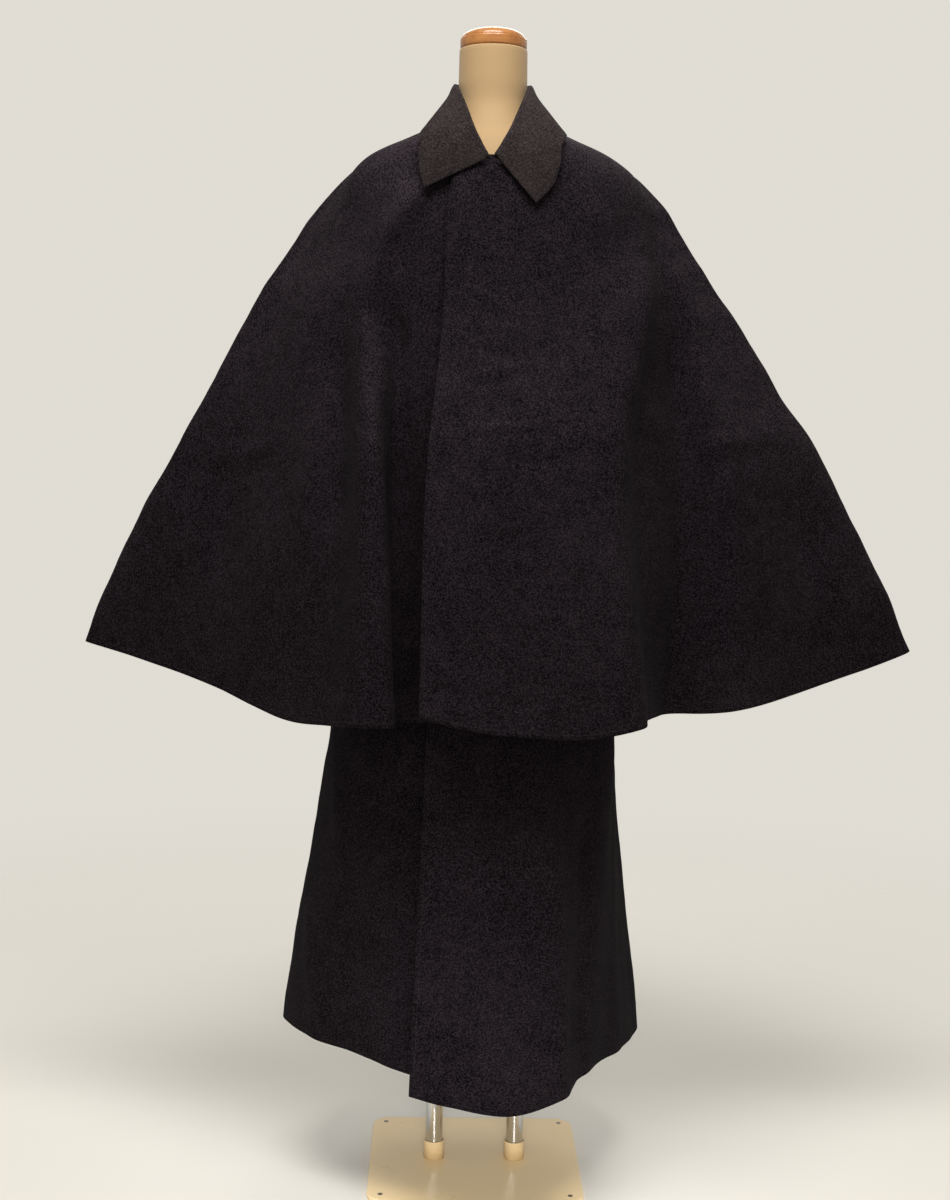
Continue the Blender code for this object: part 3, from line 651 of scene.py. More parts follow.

# %% [markdown]
# ## Folds and creases
#
# The tables give the great folds. Wool that has been folded away also keeps soft swells between them
# and thin storage creases across the chest. A cloth simulation would give folds of its own, not these
# ones, so each is placed one by one: a stroke through a few points, with its own width on either flank,
# so that a fold can roll over gently on one side and drop steeply on the other. A stroke may raise
# the cloth anywhere. It sinks only where the cloth hangs free of the body. The folds of a front and of
# the back part their shared side seam a little, so the two edges are sewn together again afterwards.

# %% List the folds of each piece

# Columns: side it shows on, points as across and height in metres, width of the flank on the lower
# and on the higher side of across (or below and above a level fold), and rise, in millimetres.
# Across is x on the front and back, and y on the left and right.
LEFT_WING_FOLDS = [
    ("front", [(-0.120, 1.190), (0.020, 1.200), (0.160, 1.210), (0.300, 1.230)], 120, 75, 9.0),
    ("front", [(-0.046, 1.420), (-0.050, 1.370), (-0.052, 1.320), (-0.054, 1.250)], 6, 26, 4.5),
    ("front", [(-0.038, 1.244), (0.000, 1.222), (0.040, 1.202)], 6, 6, 1.7),
    ("front", [(-0.034, 1.161), (0.008, 1.150), (0.052, 1.144)], 5, 5, -1.3),
    ("front", [(-0.044, 1.122), (0.000, 1.126), (0.044, 1.140)], 6, 6, 1.6),
    ("front", [(-0.050, 1.182), (-0.010, 1.190), (0.060, 1.178)], 5, 5, 1.2),
    ("front", [(-0.034, 1.050), (0.020, 1.058), (0.092, 1.062)], 6, 6, 1.7),
    ("front", [(-0.066, 1.012), (-0.030, 0.986), (0.006, 0.970)], 6, 6, 1.6),
    ("front", [(0.010, 1.022), (0.060, 1.012), (0.110, 1.020)], 6, 6, -1.2),
    ("front", [(-0.086, 0.790), (-0.060, 0.752), (-0.024, 0.712)], 5, 7, 2.2),
    ("front", [(-0.082, 0.726), (-0.052, 0.722), (-0.020, 0.712)], 5, 5, -1.8),
    ("front", [(0.118, 1.362), (0.136, 1.338), (0.152, 1.308)], 14, 10, 2.2),
    ("front", [(0.018, 0.960), (0.024, 0.820), (0.036, 0.640)], 26, 26, -3.2),
    ("front", [(0.094, 1.100), (0.100, 0.900), (0.104, 0.640)], 22, 22, 2.8),
    ("front", [(-0.036, 0.930), (-0.044, 0.820), (-0.052, 0.640)], 18, 18, 2.6),
    ("front", [(0.282, 1.030), (0.340, 1.046), (0.418, 1.056)], 7, 9, 2.4),
    ("front", [(0.292, 1.010), (0.345, 1.020), (0.400, 1.026)], 6, 6, -1.8),
    ("front", [(0.300, 0.985), (0.352, 1.000), (0.380, 1.000)], 6, 6, 1.4),
    ("front", [(0.272, 1.200), (0.310, 1.060), (0.350, 0.880), (0.372, 0.760)], 26, 14, 5.0),
    ("front", [(0.246, 1.200), (0.262, 1.060), (0.268, 0.940), (0.266, 0.820), (0.250, 0.560)],
     18, 26, -11.0),
    ("front", [(0.196, 1.300), (0.205, 1.220), (0.212, 1.120), (0.216, 1.000)], 24, 24, 2.4),
    ("front", [(0.410, 1.000), (0.450, 0.880), (0.496, 0.700)], 24, 24, -5.0),
    ("front", [(0.330, 0.920), (0.342, 0.820), (0.352, 0.660)], 18, 18, -3.0),
    ("front", [(0.470, 0.940), (0.510, 0.830), (0.546, 0.700)], 18, 24, 4.0),
    ("left", [(0.000, 1.428), (0.000, 1.380), (0.000, 1.325)], 46, 46, 6.0),
    ("left", [(0.000, 1.330), (0.004, 1.280), (0.008, 1.220)], 46, 46, -3.0),
    ("left", [(0.008, 1.110), (0.012, 1.000), (0.020, 0.760)], 60, 60, 7.5),
    ("back", [(0.262, 1.180), (0.296, 0.980), (0.330, 0.640)], 20, 24, 4.5),
    ("back", [(0.360, 1.060), (0.404, 0.880), (0.440, 0.660)], 22, 20, -4.0),
    ("back", [(0.420, 1.000), (0.480, 0.840), (0.520, 0.680)], 20, 20, 3.5),
    ("back", [(0.290, 1.016), (0.340, 1.030), (0.400, 1.040)], 8, 8, 2.0),
    ("back", [(0.200, 1.220), (0.240, 1.208), (0.290, 1.200)], 8, 8, 1.6),
]
RIGHT_WING_FOLDS = [
    ("front", [(-0.072, 1.398), (-0.096, 1.345), (-0.118, 1.296), (-0.140, 1.250), (-0.155, 1.190)],
     20, 7, 4.5),
    ("front", [(-0.078, 1.392), (-0.112, 1.335), (-0.134, 1.300), (-0.151, 1.256), (-0.160, 1.213),
               (-0.157, 1.150), (-0.152, 1.053), (-0.145, 0.988), (-0.137, 0.886), (-0.120, 0.600)],
     28, 9, 11.0),
    ("front", [(-0.128, 1.250), (-0.117, 1.120), (-0.110, 0.980), (-0.105, 0.860), (-0.092, 0.560)],
     20, 17, -26.0),
    ("front", [(-0.300, 1.230), (-0.180, 1.220), (-0.060, 1.210)], 110, 70, 5.0),
    ("front", [(-0.070, 1.378), (-0.066, 1.360), (-0.064, 1.340)], 16, 10, -2.4),
    ("front", [(-0.203, 1.200), (-0.196, 1.060), (-0.190, 0.900)], 18, 14, -4.0),
    ("front", [(-0.232, 1.080), (-0.232, 0.980), (-0.238, 0.860)], 18, 18, 4.0),
    ("front", [(-0.352, 1.020), (-0.354, 0.940), (-0.360, 0.820)], 24, 20, -4.0),
    ("front", [(-0.360, 0.998), (-0.322, 1.020), (-0.284, 1.034)], 7, 9, 2.4),
    ("front", [(-0.342, 0.976), (-0.310, 0.996), (-0.280, 1.002)], 6, 6, -1.6),
    ("front", [(-0.400, 0.960), (-0.436, 0.860), (-0.476, 0.700)], 20, 24, 4.0),
    ("front", [(-0.290, 1.000), (-0.304, 0.860), (-0.318, 0.660)], 22, 18, 4.0),
    ("front", [(-0.182, 0.860), (-0.186, 0.780), (-0.192, 0.640)], 14, 14, 2.6),
    ("front", [(-0.250, 0.840), (-0.256, 0.740), (-0.262, 0.640)], 14, 14, -3.0),
    ("right", [(0.000, 1.340), (0.004, 1.290), (0.008, 1.240)], 46, 46, -3.0),
    ("right", [(0.008, 1.000), (0.014, 0.900), (0.020, 0.740)], 60, 60, 5.5),
    ("back", [(-0.256, 1.180), (-0.290, 0.980), (-0.322, 0.640)], 24, 20, 4.5),
    ("back", [(-0.350, 1.050), (-0.390, 0.880), (-0.424, 0.660)], 20, 22, -4.0),
    ("back", [(-0.420, 0.980), (-0.460, 0.840), (-0.496, 0.690)], 20, 20, 3.5),
    ("back", [(-0.280, 1.006), (-0.330, 1.024), (-0.380, 1.036)], 8, 8, 2.0),
]
LEFT_FRONT_FOLDS = [
    ("front", [(0.088, 0.620), (0.100, 0.450), (0.116, 0.290), (0.112, 0.140)], 16, 7, 3.0),
    ("front", [(0.134, 0.560), (0.133, 0.380), (0.128, 0.140)], 11, 11, -5.0),
    ("front", [(0.158, 0.600), (0.155, 0.488), (0.152, 0.390), (0.143, 0.140)], 8, 14, 4.0),
    ("front", [(0.016, 0.600), (0.022, 0.400), (0.030, 0.130)], 26, 26, -4.0),
    ("front", [(-0.054, 0.500), (-0.058, 0.340), (-0.062, 0.130)], 20, 20, 2.6),
    ("front", [(-0.020, 0.452), (0.020, 0.446), (0.070, 0.452)], 7, 7, 1.4),
    ("left", [(-0.056, 0.640), (-0.062, 0.400), (-0.070, 0.140)], 18, 22, 4.0),
    ("left", [(-0.010, 0.560), (0.000, 0.360), (0.010, 0.140)], 18, 18, -3.0),
]
RIGHT_FRONT_FOLDS = [
    ("front", [(-0.199, 0.640), (-0.194, 0.519), (-0.190, 0.430)], 8, 14, 3.4),
    ("front", [(-0.236, 0.430), (-0.231, 0.303), (-0.218, 0.180)], 10, 14, 3.6),
    ("front", [(-0.160, 0.600), (-0.170, 0.420), (-0.182, 0.150)], 22, 22, -4.0),
    ("front", [(-0.104, 0.560), (-0.112, 0.380), (-0.122, 0.150)], 20, 16, 2.8),
    ("right", [(-0.024, 0.640), (-0.018, 0.420), (-0.008, 0.160)], 18, 22, 3.6),
]
BACK_FOLDS = [
    ("back", [(0.104, 0.620), (0.112, 0.420), (0.120, 0.130)], 22, 18, -4.5),
    ("back", [(0.030, 0.640), (0.034, 0.420), (0.040, 0.130)], 26, 26, 3.6),
    ("back", [(-0.034, 0.640), (-0.040, 0.420), (-0.046, 0.130)], 22, 22, -4.0),
    ("back", [(-0.110, 0.640), (-0.112, 0.420), (-0.116, 0.130)], 22, 18, 3.6),
    ("back", [(-0.170, 0.600), (-0.184, 0.420), (-0.200, 0.150)], 16, 16, 3.0),
    ("back", [(-0.060, 1.180), (0.000, 1.168), (0.050, 1.160)], 7, 7, 1.2),
    ("back", [(-0.040, 0.980), (0.010, 0.984), (0.070, 0.994)], 7, 7, 1.6),
    ("back", [(-0.080, 0.450), (-0.020, 0.446), (0.040, 0.454)], 8, 8, 1.6),
]
COLLAR_FOLDS = [
    ("front", [(0.046, 1.430), (0.062, 1.404), (0.070, 1.372)], 9, 9, 0.8),
    ("front", [(-0.052, 1.436), (-0.072, 1.412), (-0.088, 1.394)], 9, 9, 0.8),
]
FOLDS = {
    "cape_left": LEFT_WING_FOLDS,
    "cape_right": RIGHT_WING_FOLDS,
    "front_left": LEFT_FRONT_FOLDS,
    "front_right": RIGHT_FRONT_FOLDS,
    "back": BACK_FOLDS,
    "collar": COLLAR_FOLDS,
}
print("folds listed:", {name: len(folds) for name, folds in FOLDS.items()})

# %% Press the folds into the cloth
SIDES = {"front": (0, 1, -1.0), "back": (0, 1, 1.0), "left": (1, 0, 1.0), "right": (1, 0, -1.0)}
SWELLS = ((7.0, 0.0030), (17.0, 0.0014), (48.0, 0.0005))
SNUG_SHARE = 0.20
FREE_FADE_ROWS = 24.0
STROKE_FADE = 0.070
STROKE_FADE_SHARE = 0.35
SIDE_GAIN = 2.5
COLLAR_FLARE = 0.0090
SEWN_WITHIN = 0.002
SEAM_REACH = 10


def outward(grid):
    """Unit vectors that point away from the wearer, one for each point of a grid of cloth."""
    vectors = np.cross(np.gradient(grid, axis=1), np.gradient(grid, axis=0))
    return vectors / np.linalg.norm(vectors, axis=2, keepdims=True)


def stroke(grid, faces, fold):
    """How far one fold lifts each point, in metres."""
    side, points, before, beyond, rise = fold
    axis, depth_axis, sign = SIDES[side]
    spots = grid[..., (axis, 2)]
    away = np.full(grid.shape[:2], np.inf)
    flank = np.zeros(grid.shape[:2])
    walked = np.zeros(grid.shape[:2])
    total = 0.0
    for start, end in zip(points, points[1:]):
        run = np.subtract(end, start)
        length = np.linalg.norm(run)
        part = np.clip((spots - start) @ run / length ** 2, 0.0, 1.0)
        offset = spots - start - part[..., None] * run
        distance = np.linalg.norm(offset, axis=2)
        nearer = distance < away
        away = np.where(nearer, distance, away)
        flank = np.where(nearer, run[0] * offset[..., 1] - run[1] * offset[..., 0], flank)
        walked = np.where(nearer, total + part * length, walked)
        total += length
    fade = min(STROKE_FADE, total * STROKE_FADE_SHARE)
    ends = ease(walked / fade) * ease((total - walked) / fade)
    width = np.where(flank > 0.0, beyond, before) * 0.001
    shown = ease(faces[..., depth_axis] * sign * SIDE_GAIN)
    return 0.001 * rise * np.exp(-(away / width) ** 2) * ends * shown


def press(name, grid):
    """A grid with its folds, and with the uneven swell that no pressed cloth quite loses."""
    faces = outward(grid)
    rows = np.arange(grid.shape[1])
    drop = 0.0 * rows if name == "collar" else ease((rows - RESTING_ROWS) / FREE_FADE_ROWS)
    free = SNUG_SHARE + (1.0 - SNUG_SHARE) * drop
    folds = sum(stroke(grid, faces, fold) for fold in FOLDS[name])
    swell = np.zeros(grid.shape[:2])
    for scale, rise in SWELLS:
        shift = Vector((len(name), 3.0, 5.0))
        bumps = [noise.noise(Vector(point) * scale + shift) for point in grid.reshape(-1, 3)]
        swell += rise * np.reshape(bumps, grid.shape[:2])
    lift = np.where(folds > 0.0, folds, folds * free) + swell * free
    if name == "collar":
        lift = lift + COLLAR_FLARE * ease(rows / rows[-1] * 2.2 - 1.2) * ease(-faces[..., 1] * 2.0)
    return grid + faces * lift[..., None]


def sew(before, after, first, second):
    """Bring two panels' edges back together. They lap by the seam gap, so that no light shows."""
    apart = before[first][-1] - before[second][0]
    sewn = 1.0 - ease((np.linalg.norm(apart, axis=1) - SEWN_WITHIN) / SEWN_WITHIN)
    middle = (after[first][-1] + after[second][0]) / 2.0
    for name, edge, step, lap in ((first, -1, -1, -apart / 2.0), (second, 0, 1, apart / 2.0)):
        shift = (middle + lap - after[name][edge]) * sewn[:, None]
        for count in range(SEAM_REACH):
            after[name][edge + step * count] += shift * (1.0 - ease(count / SEAM_REACH))


pressed = {name: press(name, grid) for name, grid in panels.items()}
sew(panels, pressed, "front_left", "back")
sew(panels, pressed, "back", "front_right")
panels = pressed
print("furthest forward:", {name: round(float(grid[..., 1].min()), 3) for name, grid in panels.items()})

# %% [markdown]
# ## From a grid to a piece of cloth
#
# Solidify would give each grid a wall, but with a sharp square rim. Cloth that is turned in at its
# edges has a round one, and is a little thicker where the turning lies inside. So the two faces and
# a half-round rim between them are made together, and the map is in metres of cloth, for the weave.

# %% Give a grid its wall, its round rim and its map
RIM_STEPS = 4
TURNING_RISE = 0.0004
TURNING_FADE = 0.004


def rim_walk(columns, rows):
    """The border of a grid, as column and row numbers in one closed round."""
    walk = [(column, 0) for column in range(columns)]
    walk += [(columns - 1, row) for row in range(1, rows)]
    walk += [(column, rows - 1) for column in range(columns - 2, -1, -1)]
    walk += [(0, row) for row in range(rows - 2, 0, -1)]
    return np.array(walk)


def cloth_map(grid):
    """Metres of cloth across and down, for each point of the grid."""
    across = np.cumsum(np.linalg.norm(np.diff(grid, axis=0, prepend=grid[:1]), axis=2), axis=0)
    down = np.cumsum(np.linalg.norm(np.diff(grid, axis=1, prepend=grid[:, :1]), axis=2), axis=1)
    return np.stack([across, down], axis=2)


def turning(grid, edges):
    """Extra thickness near the turned edges: a table of edge and how wide its turning is."""
    across, down = np.moveaxis(cloth_map(grid), 2, 0)
    distance = {"hem": down[:, -1:] - down, "first": across, "last": across[-1:] - across}
    share = np.zeros(grid.shape[:2])
    for edge, width in edges.items():
        share = np.maximum(share, 1.0 - ease((distance[edge] - width) / TURNING_FADE))
    return TURNING_RISE * share


def cloth_shell(name, grid, edges, finish, wall=WALL):
    """A closed piece of cloth. Returns its object and the grid of its outer face."""
    columns, rows = grid.shape[:2]
    faces = outward(grid)
    thick = (wall + turning(grid, edges))[..., None]
    walk = rim_walk(columns, rows)
    rim = walk[:, 0] * rows + walk[:, 1]
    inside_column = np.clip(walk[:, 0], 1, columns - 2)
    inside_row = np.clip(walk[:, 1], 1, rows - 2)
    border = grid[walk[:, 0], walk[:, 1]]
    away = border - grid[inside_column, inside_row]
    away /= np.linalg.norm(away, axis=1, keepdims=True)
    half = thick.reshape(-1, 1)[rim] / 2.0
    inner = grid.reshape(-1, 3).copy()
    inner[rim] -= away * half
    outer = inner + (faces * thick).reshape(-1, 3)
    up = faces.reshape(-1, 3)[rim]
    middle = (inner[rim] + outer[rim]) / 2.0
    rounds = []
    for angle in np.linspace(math.pi / 2.0, -math.pi / 2.0, RIM_STEPS + 1)[1:-1]:
        rounds.append(middle + (up * math.sin(angle) + away * math.cos(angle)) * half)
    count = columns * rows
    corner = (np.arange(columns - 1)[:, None] * rows + np.arange(rows - 1)).ravel()
    outer_quads = np.stack([corner, corner + 1, corner + rows + 1, corner + rows], axis=1)
    rings = [rim] + [2 * count + index * len(rim) + np.arange(len(rim)) for index in range(len(rounds))]
    rings.append(rim + count)
    quads = [outer_quads, outer_quads[:, ::-1] + count]
    for one, two in zip(rings, rings[1:]):
        quads.append(np.stack([one, np.roll(one, -1), np.roll(two, -1), two], axis=1))
    spots = np.vstack([outer, inner, *rounds])
    flat = cloth_map(grid).reshape(-1, 2)
    flat = np.vstack([flat, flat] + [flat[rim]] * len(rounds))
    return add_piece(name, spots, np.vstack(quads), finish, flat), outer.reshape(grid.shape)


def add_piece(name, spots, faces, finish, flat=None):
    """An object at the origin, from points and faces, smooth, with an optional map."""
    mesh = bpy.data.meshes.new(name)
    mesh.from_pydata(np.asarray(spots).tolist(), [], [list(map(int, face)) for face in faces])
    if flat is not None:
        corners = np.empty(len(mesh.loops), dtype=int)
        mesh.loops.foreach_get("vertex_index", corners)
        mesh.uv_layers.new(name="cloth").data.foreach_set("uv", flat[corners].ravel())
    mesh.materials.append(finish)
    mesh.shade_smooth()
    item = bpy.data.objects.new(name, mesh)
    bpy.context.scene.collection.objects.link(item)
    return item


# Columns: node, finish, record slot, edges with a turning and its width
CLOTH_PIECES = [
    ("cape_left", COAT_WOOL, "coat_wool", {"hem": 0.035, "first": 0.045}),
    ("cape_right", COAT_WOOL, "coat_wool", {"hem": 0.035, "last": 0.045}),
    ("front_left", COAT_WOOL, "coat_wool", {"hem": 0.040, "first": 0.050}),
    ("front_right", COAT_WOOL, "coat_wool", {"hem": 0.040, "last": 0.050}),
    ("back", COAT_WOOL, "coat_wool", {"hem": 0.040}),
    ("collar", COLLAR_WOOL_PAINTED_LIGHTER, "collar_wool", {"hem": 0.010, "first": 0.010, "last": 0.010}),
]


def cut_size(grid):
    """Width, length and area of the cloth in a grid, in metres."""
    across, down = cloth_map(grid).max(axis=(0, 1))
    sides = np.cross(np.diff(grid, axis=0)[:, :-1], np.diff(grid, axis=1)[:-1])
    return float(across), float(down), float(np.linalg.norm(sides, axis=2).sum())


outer_faces = {}
cut_pieces = {}
for name, finish, slot, edges in CLOTH_PIECES:
    piece, outer_faces[name] = cloth_shell(f"{name}_cloth", panels[name], edges, finish)
    size = cut_size(panels[name])
    cut_pieces[name] = (piece, slot, size)
    print(piece.name, "cut", [round(value, 3) for value in size], "faces", len(piece.data.polygons))

# %% [markdown]
# ## The neck facing
#
# Where the collar's two leaves part at the throat, the dark inner end of the collar's stand shows.
# It is a narrow strip that lies on the form, under both fronts. It could be part of the collar's own
# table. A strip of its own is simpler, because it must be thinner than the cloth to fit in there.

# %% Lay the facing round the throat
FACING_LIFT = 0.0007
FACING_WALL = 0.0012
FACING_TURN = 62.0
FACING_RISE = 0.60
FACING_FALL = 0.45
FACING_TAPER = 0.6
FACING_COLUMNS = 61
FACING_ROWS = 13


def throat_facing():
    rows = []
    for turn in np.linspace(-FACING_TURN, FACING_TURN, FACING_COLUMNS):
        rise = FACING_RISE * (1.0 - FACING_TAPER * ease(abs(turn) / FACING_TURN))
        levels = neck_level(turn) + np.linspace(-rise, FACING_FALL, FACING_ROWS)
        rows.append(on_form(np.full(FACING_ROWS, turn), levels, np.full(FACING_ROWS, FACING_LIFT)))
    return np.array(rows)


facing, _ = cloth_shell("throat_facing", throat_facing(), {}, COAT_WOOL, FACING_WALL)
print("facing faces:", len(facing.data.polygons))

# %% [markdown]
# ## Edge stitching
#
# Coat edges are held by a row of small stitches a few millimetres in. Thousands of equal stitches
# along a path are work for Geometry Nodes: the path is sampled at the stitch pitch, and one slim bead
# of thread is set on each sample, turned along the path. Made by hand, each would cost its own code.

# %% Build the stitch tree
STITCH_PITCH = 0.0042
STITCH_LENGTH = 0.0030
STITCH_THICK = 0.0004
STITCH_INSET = 0.005


def empty_tree(name, **inputs):
    """A tree that takes and gives geometry, with its other inputs as label and type."""
    tree = bpy.data.node_groups.new(name, "GeometryNodeTree")
    tree.interface.new_socket("Geometry", in_out="INPUT", socket_type="NodeSocketGeometry")
    for label, kind in inputs.items():
        tree.interface.new_socket(label, in_out="INPUT", socket_type=f"NodeSocket{kind}")
    tree.interface.new_socket("Geometry", in_out="OUTPUT", socket_type="NodeSocketGeometry")
    return tree


def add_node(tree, kind, **defaults):
    """A node, with values for its inputs by name."""
    node = tree.nodes.new(kind)
    for key, value in defaults.items():
        node.inputs[key].default_value = value
    return node


def join_nodes(tree, *links):
    """Links, each as a node, its output, the next node and its input."""
    for first, output, second, key in links:
        tree.links.new(first.outputs[output], second.inputs[key])


def stitch_tree():
    tree = empty_tree("stitch row", Pitch="Float", Length="Float", Thickness="Float", Thread="Material")
    start = add_node(tree, "NodeGroupInput")
    end = add_node(tree, "NodeGroupOutput")
    path = add_node(tree, "GeometryNodeMeshToCurve")
    samples = add_node(tree, "GeometryNodeResampleCurve")
    samples.mode = "LENGTH"
    bead = add_node(tree, "GeometryNodeMeshUVSphere", Segments=6, Rings=4, Radius=0.5)
    size = add_node(tree, "ShaderNodeCombineXYZ")
    shape = add_node(tree, "GeometryNodeTransform")
    tangent = add_node(tree, "GeometryNodeInputTangent")
    aim = add_node(tree, "FunctionNodeAlignRotationToVector")
    aim.axis = "X"
    stand = add_node(tree, "GeometryNodeInstanceOnPoints")
    real = add_node(tree, "GeometryNodeRealizeInstances")
    dress = add_node(tree, "GeometryNodeSetMaterial")
    join_nodes(
        tree,
        (start, "Geometry", path, "Mesh"),
        (path, "Curve", samples, "Curve"),
        (start, "Pitch", samples, "Length"),
        (start, "Length", size, "X"),
        (start, "Thickness", size, "Y"),
        (start, "Thickness", size, "Z"),
        (bead, "Mesh", shape, "Geometry"),
        (size, "Vector", shape, "Scale"),
        (tangent, "Tangent", aim, "Vector"),
        (samples, "Curve", stand, "Points"),
        (shape, "Geometry", stand, "Instance"),
        (aim, "Rotation", stand, "Rotation"),
        (stand, "Instances", real, "Geometry"),
        (real, "Geometry", dress, "Geometry"),
        (start, "Thread", dress, "Material"),
        (dress, "Geometry", end, "Geometry"),
    )
    return tree


def run_tree(name, tree, spots, edges, values):
    """Run a tree on a wire of points, and keep the result as a plain mesh at the origin."""
    mesh = bpy.data.meshes.new(name)
    mesh.from_pydata(np.asarray(spots).tolist(), edges, [])
    item = bpy.data.objects.new(name, mesh)
    bpy.context.scene.collection.objects.link(item)
    modifier = item.modifiers.new("tree", "NODES")
    modifier.node_group = tree
    for socket in tree.interface.items_tree:
        if socket.in_out == "INPUT" and socket.name in values:
            modifier[socket.identifier] = values[socket.name]
    bpy.context.view_layer.update()
    result = bpy.data.meshes.new_from_object(item.evaluated_get(bpy.context.evaluated_depsgraph_get()))
    item.modifiers.clear()
    item.data = result
    result.shade_smooth()
    return item


STITCHES = stitch_tree()
print("stitch tree has", len(STITCHES.nodes), "nodes")

# %% Run stitches along the edges

# Columns: node, edge that the row follows
STITCHED_EDGES = [
    ("cape_left", "first"), ("cape_left", "hem"),
    ("cape_right", "last"), ("cape_right", "hem"),
    ("front_left", "first"), ("front_left", "hem"),
    ("front_right", "last"), ("front_right", "hem"), ("back", "hem"),
    ("collar", "hem"), ("collar", "first"), ("collar", "last"),
]
STITCH_VALUES = {
    "Pitch": STITCH_PITCH,
    "Length": STITCH_LENGTH,
    "Thickness": STITCH_THICK,
    "Thread": BLACK_THREAD,
}


def inset_path(grid, edge, inset):
    """Points on a grid's outer face, at one distance in from an edge."""
    lines = {"first": grid, "last": grid[::-1], "hem": np.swapaxes(grid, 0, 1)[::-1]}[edge]
    lengths = np.cumsum(np.linalg.norm(np.diff(lines, axis=0, prepend=lines[:1]), axis=2), axis=0)
    path = []
    for line in range(lines.shape[1]):
        path.append([np.interp(inset, lengths[:, line], lines[:, line, axis]) for axis in range(3)])
    return np.array(path)


def stitch_rows(name):
    spots = []
    wires = []
    for node, edge in STITCHED_EDGES:
        if node == name:
            path = inset_path(outer_faces[node], edge, STITCH_INSET)
            trim = path[2:-2]
            wires += [(len(spots) + index, len(spots) + index + 1) for index in range(len(trim) - 1)]
            spots += trim.tolist()
    return run_tree(f"{name}_stitches", STITCHES, spots, wires, STITCH_VALUES)


stitches = {name: stitch_rows(name) for name, *_ in CLOTH_PIECES}
print("stitch faces:", {name: len(item.data.polygons) for name, item in stitches.items()})

# %% [markdown]
# ## The form's cover
#
# The dress form is a smooth torso under a stretched beige cover. The same formula that the cloth lies
# on gives its rings, so it fits by itself. The top ring is drawn in by a small round, as a cover
# turns over the edge under the wooden cap.

# %% Cover the form
COVER_COLUMNS = 112
COVER_RING_STEP = 0.10
COVER_ROUND = 0.0022
COVER_ROUND_STEPS = 4
COVER_TUCK = 0.97


def cover_finish():
    finish = Finish("beige cover")
    knit = finish.speckle(finish.places((1.0, 1.0, 0.55)), 1500.0, detail=1.0)
    shade = finish.speckle(finish.places(), 9.0, detail=3.0)
    colour = finish.mix((shade * 0.8 + knit * 0.2).clipped(), (0.312, 0.202, 0.092), (0.354, 0.233, 0.110))
    finish.surface(Base_Color=colour)
    finish.surface(Roughness=0.66 + knit * 0.18)
    finish.relief(knit, 0.00025, 0.5)
    finish.shader.inputs["Sheen Weight"].default_value = 0.12
    return finish.material


def loft(name, rings, finish, close_top=True, close_foot=True):
    """A skin over rings of points that run anticlockwise and from the top down."""
    rings = np.asarray(rings)
    levels, count = rings.shape[:2]
    ahead = np.roll(np.arange(count), -1)
    faces = []
    for level in range(levels - 1):
        upper = level * count
        lower = upper + count
        for index in range(count):
            faces.append((upper + index, lower + index, lower + ahead[index], upper + ahead[index]))
    if close_top:
        faces.append(tuple(range(count)))
    if close_foot:
        faces.append(tuple(range(levels * count - 1, (levels - 1) * count - 1, -1)))
    return add_piece(name, rings.reshape(-1, 3), faces, finish)


def form_cover():
    turns = np.arange(COVER_COLUMNS) * 360.0 / COVER_COLUMNS
    rings = []
    for angle in np.linspace(0.0, math.pi / 2.0, COVER_ROUND_STEPS + 1):
        ring = form_point(turns, np.zeros(COVER_COLUMNS))
        shrink = 1.0 - COVER_ROUND * (1.0 - math.sin(angle)) / FORM_LEVELS[0, 1]
        ring[:, :2] *= shrink
        ring[:, 2] -= COVER_ROUND * (1.0 - math.cos(angle))
        rings.append(ring)
    first_level = COVER_ROUND / (FORM_LEVELS[0, 0] - FORM_LEVELS[1, 0])
    last_level = len(FORM_LEVELS) - 1.0
    for level in np.linspace(first_level, last_level, round(last_level / COVER_RING_STEP))[1:]:
        rings.append(form_point(turns, np.full(COVER_COLUMNS, level)))
    foot = rings[-1].copy()
    foot[:, :2] *= COVER_TUCK
    rings.append(foot)
    return loft("form_cover", rings, cover_finish())


cover = form_cover()
print("form cover faces:", len(cover.data.polygons))

# %% [markdown]
# ## Turned pieces
#
# The neck cap, the poles and their sockets are all turned: one profile, run round an axis. The Screw
# modifier would do it. A loft over rings is used here, because the rings also serve the form and the
# plate, and the piece needs no modifier at the end.

# %% Turn the cap, the poles and the sockets
REST_GAP = 0.0003
NECK_TOP = FORM_LEVELS[0, 0]
TURN_STEPS = 72
ARC_STEPS = 5
CAP_RADIUS = 0.0455
CAP_RIM = 0.0150
CAP_HEIGHT = 0.0285
CAP_ROUND = 0.0030
CAP_GROOVE = 0.0006
CAP_STEP = 0.0025
CAP_TIP = 0.0004
CAP_DOME_STEPS = 21
PLATE_THICK = 0.0060
POLE_RADIUS = 0.0125
POLE_SPACING = 0.116
POLE_ROUND = 0.0008
SOCKET_HEIGHT = 0.026
SOCKET_WALL = 0.0018
SOCKET_ROUND = 0.0007


def turned(name, profile, x, finish, hollow=False):
    """A piece turned on an upright axis at x, from radius and height pairs that run downwards."""
    angles = np.arange(TURN_STEPS) * 2.0 * math.pi / TURN_STEPS
    rings = []
    for radius, height in profile:
        flat = np.stack([x + radius * np.sin(angles), -radius * np.cos(angles)], axis=1)
        rings.append(np.column_stack([flat, np.full(TURN_STEPS, height)]))
    if hollow:
        rings.append(rings[0])
    return loft(name, rings, finish, close_top=not hollow, close_foot=not hollow)


def arc(radius, height, reach, start, end):
    """Points of a small round on a profile, about a centre, between two angles in degrees."""
    angles = np.radians(np.linspace(start, end, ARC_STEPS + 1))
    return [(radius + reach * math.cos(angle), height + reach * math.sin(angle)) for angle in angles]


